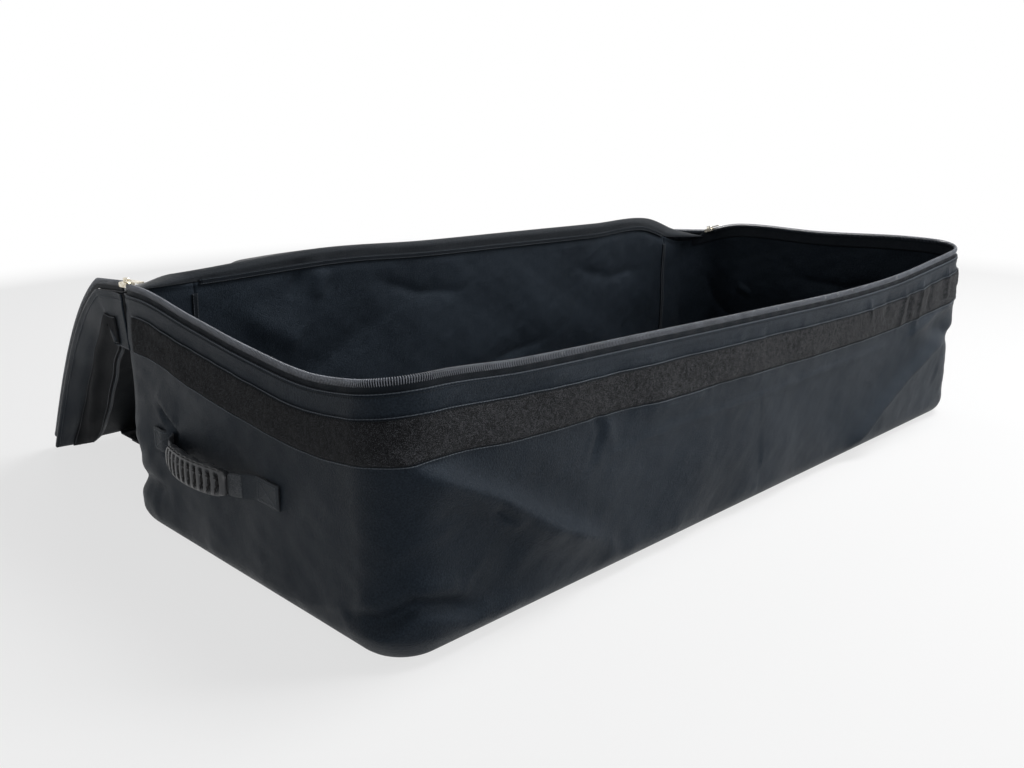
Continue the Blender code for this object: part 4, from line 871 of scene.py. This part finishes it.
def lid_grid():
    """Inner face of the lid: up from its seam, over the fold, and down to the floor."""
    u = np.linspace(-1.0, 1.0, LID_COLUMNS)
    x = u * FLAT_X
    seam_y = HALF_WIDTH - CLOTH
    crest, rise = rim(-x), rear_rise(x)
    edge = crest - rise
    radius = np.minimum(LID_FOLD_RADIUS, 0.6 * rise)
    rows = []
    for share in np.linspace(0.0, 1.0, 7):
        z = edge + SEAT + (crest - radius - edge - SEAT) * share
        push = wall_push(-x, np.minimum(z, edge - 0.012)) * (1 - share) * 0.8
        rows.append(np.stack((x, seam_y + push, z), axis=-1))
    for angle in range(12, 85, 12):
        turn = math.radians(angle)
        spread = float(np.interp(angle, (0, 40, 80, 90), (0, 0.12, 0.5, SPREAD_AT_FOLD)))
        wide = FLAT_X + (lid_half_width(0.0) - FLAT_X) * spread
        back, down = radius * (1 - math.cos(turn)), radius * (1 - math.sin(turn))
        rows.append(np.stack((u * wide, seam_y + back, crest - down), axis=-1))
    over = len(rows)
    for t in np.linspace(0.0, 1.0, LID_ROWS):
        row = lid_point(u, t)
        spread = float(np.interp(t, (0.0, SIDE_JOIN), (SPREAD_AT_FOLD, 1.0)))
        row[:, 0] *= (FLAT_X + (lid_half_width(t) - FLAT_X) * spread) / lid_half_width(t)
        rows.append(row)
    grid = np.array(rows)
    share = smooth((np.abs(u) - 0.90) / 0.10)[:, None]
    for k, row in enumerate(grid):
        for mirror, column in ((-1, 0), (1, -1)):
            half = (u * mirror > 0)[:, None]
            shift = side_edge(mirror, max(0.0, (k - over) / (LID_ROWS - 1)))[0] - row[column]
            row += np.where(half, share, 0.0) * shift
    return grid


def lid_edge_path():
    """Zip line of the lid: down its left side, along the front, up its right side."""
    t, u = np.linspace(0.0, LID_CORNER, 120), np.linspace(-LID_CORNER, LID_CORNER, 200)
    last = side_normal(-1, 1.0)[0]
    path = np.concatenate((side_edge(-1, t), lid_point(u, 1.0), side_edge(1, t)[::-1]))
    normal = np.concatenate((side_normal(-1, t), np.tile(last, (len(u), 1)), side_normal(1, t)[::-1]))
    ways = ((1.0, 0.0, 0.0), (0.0, -last[2], last[1]), (-1.0, 0.0, 0.0))
    inward = np.concatenate([np.tile(way, (len(v), 1)) for way, v in zip(ways, (t, u, t))])
    for corner in (len(t), len(t) + len(u)):
        for k in range(1, 7):
            weight = (7 - k) / 7 * 0.5
            a, b = inward[corner - k].copy(), inward[corner + k - 1].copy()
            inward[corner - k] = a * (1 - weight) + b * weight
            inward[corner + k - 1] = b * (1 - weight) + a * weight
    return path, normal, unit(inward)


def build_lid():
    """Lid cloth with the zip that stands along its free edges."""
    lid = sheet("lid_cloth", lid_grid(), CLOTH, LINING, "lid_panel")
    path, normal, inward = lid_edge_path()
    foot = path + inward * LID_TAPE_INSET
    top = TAPE_STAND - COIL_HEIGHT * TAPE_IN_COIL
    rows = [foot + normal * height for height in np.linspace(0.0004, top, 6)]
    tape = sheet("lid_tape", np.array(rows), TAPE_THICKNESS, TAPE, "lid_zip_tape")
    line = foot + inward * TAPE_THICKNESS / 2 + normal * (TAPE_STAND - COIL_HEIGHT / 2)
    coil = teeth("lid_teeth", line, -inward, normal, "lid_zip_coil")
    seam = stitches("lid_edge_stitch", path + inward * 0.006 + normal * 0.0003, normal, THREAD_PAINTED_SHEEN)
    return lid, [tape, coil, seam]


def skirt_grid(mirror):
    """Face of a side skirt: from the lid's edge, folded under it, to the hem, as rows going down."""
    t = SKIRT_START + (1.0 - SKIRT_START) * np.linspace(0.0, 1.0, 90)
    side = np.array((mirror, 0.0, 0.0))
    edge = side_edge(mirror, t)
    under = -side_normal(mirror, t)
    under[:, 1] *= smooth(t / SKIRT_FAN)
    under[:, 1] -= SKIRT_DRAG * smooth((t + 0.02) / 0.24) * (1 - smooth((t - 0.20) / 0.60))
    under = unit(under)
    turn = np.radians(SKIRT_TURN) * t ** SKIRT_TURN_RATE
    hang = under * np.cos(turn)[:, None] - side * np.sin(turn)[:, None]
    root = edge + side * (SKIRT_THICKNESS + SEAT)
    below = root + under * (CLOTH + SKIRT_THICKNESS + SEAT)
    out = unit(np.cross(hang, np.gradient(edge, axis=0)))
    out *= np.sign((out * np.array((mirror, 0.0, -0.4))).sum(axis=1, keepdims=True) + 1e-9)
    rows = [root, (root + below) / 2 + side * 0.0006]
    gather = 1.0 + 0.16 * smooth((t - 0.10) / 0.15) - 0.46 * smooth((t - 0.15) / 0.85)
    for share in np.linspace(0.0, 1.0, SKIRT_STEPS):
        cone = 0.0066 * np.exp(-((share - 0.52 - 0.20 * t) / 0.085) ** 2)
        cone = cone - 0.0050 * np.exp(-((share - 0.34 - 0.16 * t) / 0.10) ** 2)
        wave = cone * smooth(t / 0.5) + 0.0022 * np.sin(t * 9.0 + 0.6) * share
        wave += 0.0008 * np.sin(t * 31.0 + 4 * share)
        wave *= smooth((1 - t) / 0.10) * smooth(share / 0.15)
        rows.append(below + hang * SKIRT_DEPTH * share * gather[:, None] + out * wave[:, None])
    grid = np.array(rows)
    across, along = SKIRT_NEAR
    ease = np.linspace(1.0, 0.0, NEAR_STEPS + 1)[None, :-1, None]
    grid = np.concatenate((grid[:, :1] - np.array((mirror * across, along, 0.0)) * ease, grid), axis=1)
    depth = 1.0 - 0.26 * (1 - smooth((np.concatenate((np.zeros(NEAR_STEPS), t)) - 0.02) / 0.20))
    grid[2:] = grid[2] + (grid[2:] - grid[2]) * depth[:, None]
    return grid


def trim(name, grid, share):
    """Row of stitches along a grid at a share of its rows."""
    k = share * (len(grid) - 1)
    low = int(min(math.floor(k), len(grid) - 2))
    normal = normals_of(grid)[low]
    line = grid[low] + (grid[low + 1] - grid[low]) * (k - low) + normal * 0.0002
    return stitches(name, line, normal, THREAD_PAINTED_SHEEN)


def build_side_skirt(side, mirror):
    """Skirt on one side of the lid, and its hook strip and stitching."""
    grid = skirt_grid(mirror)
    sewn = grid[:, NEAR_STEPS:]
    if mirror > 0:
        grid, sewn = grid[:, ::-1], sewn[:, ::-1]
    skirt = sheet(f"skirt_{side}", grid, SKIRT_THICKNESS, CANVAS, f"lid_skirt_{side}")
    free = SKIRT_DEPTH - HOOK_FROM_HEM
    first, last = (2 + (SKIRT_STEPS - 1) * depth / SKIRT_DEPTH for depth in (free - HOOK_WIDTH, free))
    marks = np.linspace(first, last, 16)
    low = np.clip(np.floor(marks).astype(int), 0, len(grid) - 2)
    part = (marks - low)[:, None, None]
    strip = sewn[low] * (1 - part) + sewn[low + 1] * part
    strip = strip + normals_of(strip) * (SEAT + HOOK_THICKNESS)
    hook = sheet(f"hook_{side}", strip, HOOK_THICKNESS, HOOKS, f"hook_strip_{side}",
                 fuzz=HOOK_FUZZ)
    rows = ((f"hook_stitch_{side}_low", strip, 0.04), (f"hook_stitch_{side}_high", strip, 0.96),
            (f"skirt_stitch_{side}_hem", grid, 0.975), (f"skirt_stitch_{side}_root", grid, 0.12))
    return skirt, [hook] + [trim(*row) for row in rows]


def build_front_skirt():
    """Skirt on the lid's front edge, folded flat under the lid on the floor, and its hook strip."""
    bottom = HOOK_THICKNESS + SEAT
    turn_y = LID_REACH - SKIRT_THICKNESS
    half = lid_half_width(1.0) - SKIRT_CORNER
    x = centred(half, 0.012)

    def face(profile):
        return np.array([np.stack((x, 0 * x + y, 0 * x + z), axis=-1) for y, z in profile])

    profile = [(LID_REACH + SKIRT_THICKNESS / 2 + SEAT, LID_FLOOR - CLOTH),
               (LID_REACH + 0.0012, bottom + SKIRT_THICKNESS), (LID_REACH, bottom + SKIRT_THICKNESS / 2)]
    profile += [(turn_y - SKIRT_DEPTH * share, bottom) for share in np.linspace(0.0, 1.0, 14)]
    skirt = sheet("skirt_front", face(profile), SKIRT_THICKNESS, CANVAS, "lid_skirt_front")
    near = turn_y - SKIRT_DEPTH + HOOK_FROM_HEM
    strip = face([(y, bottom - SEAT - HOOK_THICKNESS) for y in np.linspace(near + HOOK_WIDTH, near, 12)])
    return skirt, [sheet("hook_front", strip, HOOK_THICKNESS, HOOKS, "hook_strip_front")]


def bow_at(mirror, along):
    """Bowed webbing's middle line at distances from the handle's middle: points, and outward normals."""
    share = along / HANDLE_HALF_SPAN
    stand = ROOT_STAND + (STRAP_BOW - ROOT_STAND) * (1 - share**2)
    slope = -2 * share * (STRAP_BOW - ROOT_STAND) / HANDLE_HALF_SPAN
    length = np.hypot(1.0, slope)
    point = (mirror * (HALF_LENGTH + stand), HANDLE_CENTRE + along, 0 * along + HANDLE_HEIGHT)
    return np.stack(point, axis=-1), np.stack((mirror / length, -slope / length, 0 * slope), axis=-1)


def grip_cuts(share, turn):
    """Depth of the grip's slots, holes, rim lines and finger swells, and where its faces lie in shade."""
    place = share[:, None] * 0.5 * (GRIP_SLOTS + 1.3)
    swing = np.where(turn > math.pi, turn - 2 * math.pi, turn)[None, :]
    place = place + 0.34 * (1 - (swing / 1.05) ** 2)
    inside = smooth((0.5 * GRIP_SLOTS - np.abs(place)) / 0.12)
    phase = place + (0.0 if GRIP_SLOTS % 2 else 0.5)
    wave = np.abs(phase - np.round(phase))
    slot = smooth((0.29 - wave) / 0.10) * inside * smooth((0.98 - np.abs(swing)) / 0.16) * (np.cos(turn) > 0)
    holes = smooth((0.26 - wave) / 0.14) * inside * smooth((0.10 - np.abs(np.abs(swing) - 1.26)) / 0.07)
    finger = 0.0007 * np.cos(share * math.pi * 4)[:, None] * (np.cos(turn) < 0) * inside
    rim_line = 0.0007 * smooth((0.10 - np.abs(np.abs(swing) - 1.08)) / 0.06) * inside
    return 0.0088 * slot + 0.0034 * holes - rim_line - finger, slot + holes > 0.55


def build_grip(side, mirror):
    """Moulded grip on the webbing: a flattened tube with ten curved slots and two rows of small holes."""
    rows, count, square = 170, 84, 0.72
    share, turn = np.linspace(-1.0, 1.0, rows), np.linspace(0.0, 2 * math.pi, count, endpoint=False)
    centre, out = bow_at(mirror, share * GRIP_LENGTH / 2)
    taper = 1.0 - 0.22 * np.abs(share) ** 6
    dome = np.sqrt(np.maximum(1 - np.maximum(np.abs(share) - 0.93, 0.0) ** 2 / 0.07**2 * 0.55, 0.0))
    half_depth = np.maximum(GRIP_THICKNESS / 2 * taper * dome, 0.0046)
    across, up = (np.sign(v) * np.abs(v) ** square for v in (np.cos(turn), np.sin(turn)))
    depth, height = half_depth[:, None] * across, (GRIP_HEIGHT / 2 * taper * dome)[:, None] * up
    dig, shaded = grip_cuts(share, turn)
    reach = np.hypot(depth, height)
    shrink = (reach - np.minimum(dig, DEEPEST_CUT * reach)) / reach
    depth, height = depth * shrink, height * shrink
    grid = centre[:, None, :] + out[:, None, :] * depth[:, :, None] + UP * height[:, :, None]
    slot_across = np.clip(3.0 * np.cos(turn), -1, 1) * (STRAP_THICKNESS / 2 + 0.0006)
    slot_up = np.clip(1.3 * np.sin(turn), -1, 1) * (STRAP_WIDTH / 2 * 0.86 + 0.0004)
    first, last = (centre[end] + out[end] * slot_across[:, None] + UP * slot_up[:, None] for end in (0, -1))
    sink = np.array((0.0, 0.006, 0.0))
    points = np.concatenate(([first + sink, first], grid, [last, last - sink]))
    index = np.arange(len(points) * count).reshape(len(points), count)
    index = np.concatenate((index, index[:, :1]), axis=1)
    faces = np.stack((index[:-1, :-1], index[1:, :-1], index[1:, 1:], index[:-1, 1:]), axis=-1).reshape(-1, 4)
    if mirror < 0:
        faces = faces[:, ::-1]
    mesh = mesh_of(f"grip_{side}", points.reshape(-1, 3), faces)
    made = link(f"grip_{side}", mesh, RUBBER, f"handle_{side}")
    # Faces in the slots and holes take the near-black rubber: painted shade.
    slot_shade_faces = np.zeros((rows + 3, count), np.int32)
    slot_shade_faces[2:rows + 1] = shaded[:-1]
    made.data.materials.append(SHADED_RUBBER)
    made.data.polygons.foreach_set("material_index", slot_shade_faces.ravel())
    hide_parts(f"handle_grip_{side}")


def anchor_line(mirror, way, back):
    """Middle line of a handle's sewn end: from the bend line at 0 into the wall, then along it."""
    y = HANDLE_CENTRE + way * (HANDLE_HALF_SPAN + back)
    s = arc_at("left" if mirror < 0 else "right", y)
    wall = wall_at(s, HANDLE_HEIGHT, SEAT + ANCHOR_THICKNESS / 2)
    stand = np.abs(wall[:, 0]) - HALF_LENGTH
    q = np.clip(back / ROOT_RUN, -1.0, 1.0)
    rise = ROOT_STAND - SEAT - ANCHOR_THICKNESS / 2
    lift = rise * (2 * q**3 - 3 * q**2 + 1) - ROOT_SLOPE * ROOT_RUN * (q**3 - 2 * q**2 + q)
    lift = np.where(back < 0, rise - ROOT_SLOPE * back, np.where(back > ROOT_RUN, 0.0, lift))
    return np.stack((mirror * (HALF_LENGTH + stand + lift), y, 0 * y + HANDLE_HEIGHT), axis=-1)


def build_anchor(side, mirror, name, way):
    """One sewn end of a handle: webbing that bends out to the handle, with crossed stitching."""
    back = np.linspace(-0.003, ROOT_RUN + ANCHOR_LENGTH, 54)
    centre = anchor_line(mirror, way, back)
    out = np.cross(unit(np.gradient(centre, axis=0)), UP)
    out *= np.sign(out[:, :1] * mirror)
    thick = ANCHOR_THICKNESS - 0.0010 * smooth((ROOT_RUN * 0.8 - back) / 0.006)
    end = 0.0008 * smooth((back - back[-1] + 0.0025) / 0.0025)
    grid = np.array([centre + out * (thick / 2 - 0.25 * thick * abs(share) ** 8 - end)[:, None]
                     + UP * (ANCHOR_WIDTH / 2 * share) for share in np.linspace(-1.0, 1.0, 13)])
    if normals_of(grid)[6, 27, 0] * mirror < 0:    # in its middle, it has to face out
        grid = grid[:, ::-1]
    anchor = sheet(f"anchor_{name}_{side}", grid, ANCHOR_CLOTH, WEBBING, f"handle_anchor_{name}_{side}",
                   body=None)
    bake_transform(anchor)

    outer = np.array((float(mirror), 0.0, 0.0))
    low, high = ROOT_RUN + 0.004, ROOT_RUN + ANCHOR_LENGTH - 0.0035
    half = ANCHOR_WIDTH / 2 - 0.0032
    lines = (((low, half), (high, half)), ((high, half), (high, -half)), ((high, -half), (low, -half)),
             ((low, -half), (low, half)), ((low, -half), (high, half)), ((low, half), (high, -half)))
    for k, (start, end) in enumerate(lines):
        at, rise = np.linspace(start, end, 16).T
        spot = (anchor_line(mirror, way, at - 0.001) + anchor_line(mirror, way, at + 0.001)) / 2
        line = spot + outer * (ANCHOR_THICKNESS / 2 + 0.0001) + UP * rise[:, None]
        stitches(f"box_stitch_{name}_{side}_{k}", line, outer, THREAD_PAINTED_SHEEN, 0.0030, 0.0022)


def build_handle(side, mirror):
    """Carry handle: bowed webbing, grip, and two sewn ends."""
    along = np.linspace(-HANDLE_HALF_SPAN, HANDLE_HALF_SPAN, 90)
    centre, out = bow_at(mirror, along)
    width = STRAP_WIDTH * (1 - 0.14 * smooth((GRIP_LENGTH / 2 + 0.004 - np.abs(along)) / 0.006))
    grid = np.array([centre + out * (STRAP_THICKNESS / 2 - 0.30 * STRAP_THICKNESS * abs(share) ** 8)
                     + UP * (width / 2 * share)[:, None] for share in np.linspace(-1.0, 1.0, 13)])
    if mirror < 0:
        grid = grid[:, ::-1]
    sheet(f"strap_{side}", grid, STRAP_THICKNESS, STRAP_PAINTED_LIGHT, f"handle_strap_{side}", f"handle_{side}")
    build_grip(side, mirror)
    for name, way in (("front", -1), ("rear", 1)):
        build_anchor(side, mirror, name, way)


def build_metal(side):
    """A slider and its pull keep their CAD shapes, with rounded edges and plated metal."""
    for name in ("slider", "pull"):
        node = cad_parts[f"{name}_{side}"]
        node.data.materials.clear()
        node.data.materials.append(METAL)
        bevel = node.modifiers.new("edges", "BEVEL")
        bevel.width = 0.00025
        bevel.segments = 2
        bevel.limit_method = "ANGLE"


def seen_directly(nodes):
    """1 for camera, glossy and transmission rays, else 0."""
    rays = nodes.add("ShaderNodeLightPath").outputs
    direct = nodes.math("MAXIMUM", rays["Is Camera Ray"], rays["Is Glossy Ray"])
    return nodes.math("MAXIMUM", direct, rays["Is Transmission Ray"])


def look(made, place, way):
    """Put a lamp or camera at a place and turn it to look along a way."""
    made.location = place
    made.rotation_mode = "QUATERNION"
    made.rotation_quaternion = way.to_track_quat("-Z", "Y")


def build_floor():
    """Pale floor that shows the shadow near the bag and turns white further out."""
    floor = put("floor", mesh_of("floor", [(-9, -9, 0), (9, -9, 0), (9, 9, 0), (-9, 9, 0)], [(0, 1, 2, 3)]))
    floor.location.z = -0.0004
    nodes = Nodes(bpy.data.materials.new("pale_floor"))
    nodes.give(nodes.shader, {"Base Color": (0.72, 0.72, 0.72, 1.0), "Roughness": 0.9,
                              "Specular IOR Level": 0.1})
    distance = nodes.add("ShaderNodeVectorMath", {0: nodes.places()[1]}, operation="LENGTH").outputs["Value"]
    far = nodes.add("ShaderNodeMapRange", {"Value": distance, "From Min": 1.3, "From Max": 2.3},
                    interpolation_type="SMOOTHSTEP").outputs["Result"]
    far = nodes.math("MAXIMUM", far, 0.70)
    white = nodes.add("ShaderNodeEmission", {"Color": WHITE, "Strength": 1.0}).outputs[0]
    mix = nodes.add("ShaderNodeMixShader", {0: nodes.math("MULTIPLY", far, seen_directly(nodes)),
                                            1: nodes.shader.outputs[0], 2: white})
    nodes.give(nodes.tree.nodes["Material Output"], {"Surface": mix.outputs[0]})
    floor.data.materials.append(nodes.owner)
    floor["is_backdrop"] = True


def build_world():
    """White surroundings where they are seen, dim ones for light."""
    world = bpy.context.scene.world = bpy.data.worlds.new("studio")
    nodes = Nodes(world)
    nodes.tree.nodes.clear()
    light = nodes.add("ShaderNodeBackground", {"Color": (0.93, 0.96, 1.0, 1.0), "Strength": 0.10}).outputs[0]
    white = nodes.add("ShaderNodeBackground", {"Color": WHITE, "Strength": 1.0}).outputs[0]
    mix = nodes.add("ShaderNodeMixShader", {0: seen_directly(nodes), 1: light, 2: white})
    nodes.add("ShaderNodeOutputWorld", {"Surface": mix.outputs[0]})


def build_stage():
    """Floor, surroundings, soft lamps and the photograph's camera."""
    build_floor()
    build_world()
    for name, place, aim, size, power in LAMPS:
        lamp = bpy.data.lights.new(name, "AREA")
        lamp.shape, lamp.size, lamp.energy = "SQUARE", size, power
        look(put(name, lamp), place, Vector(aim) - Vector(place))

    eye = bpy.data.cameras.new("camera")
    eye.sensor_width, eye.sensor_fit = 36.0, "HORIZONTAL"
    eye.lens = eye.sensor_width / 2 / math.tan(math.radians(EYE_FIELD / 2))
    eye.clip_start, eye.clip_end = 0.01, 60.0
    camera = put("camera", eye)
    yaw, pitch = math.radians(EYE_YAW), math.radians(EYE_PITCH)
    way = Vector((math.cos(pitch) * math.cos(yaw), math.cos(pitch) * math.sin(yaw), math.sin(pitch)))
    look(camera, EYE_PLACE, way)
    bpy.context.scene.camera = camera
    bpy.context.scene.view_settings.view_transform = "Standard"


def main():
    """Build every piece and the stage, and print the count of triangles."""
    build_tub()
    build_tub_zip()
    build_loop_strip()
    lid, lid_trim = build_lid()
    skirts = [build_side_skirt("left", -1), build_side_skirt("right", 1), build_front_skirt()]
    build_handle("left", -1)
    build_handle("right", 1)
    build_metal("left")
    build_metal("right")
    build_stage()
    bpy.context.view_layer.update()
    meshes = [piece.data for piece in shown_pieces() if piece.type == "MESH"]
    triangles = [sum(len(face.vertices) - 2 for face in mesh.polygons) for mesh in meshes]
    print("triangles", sum(triangles), "most", max(triangles))


main()
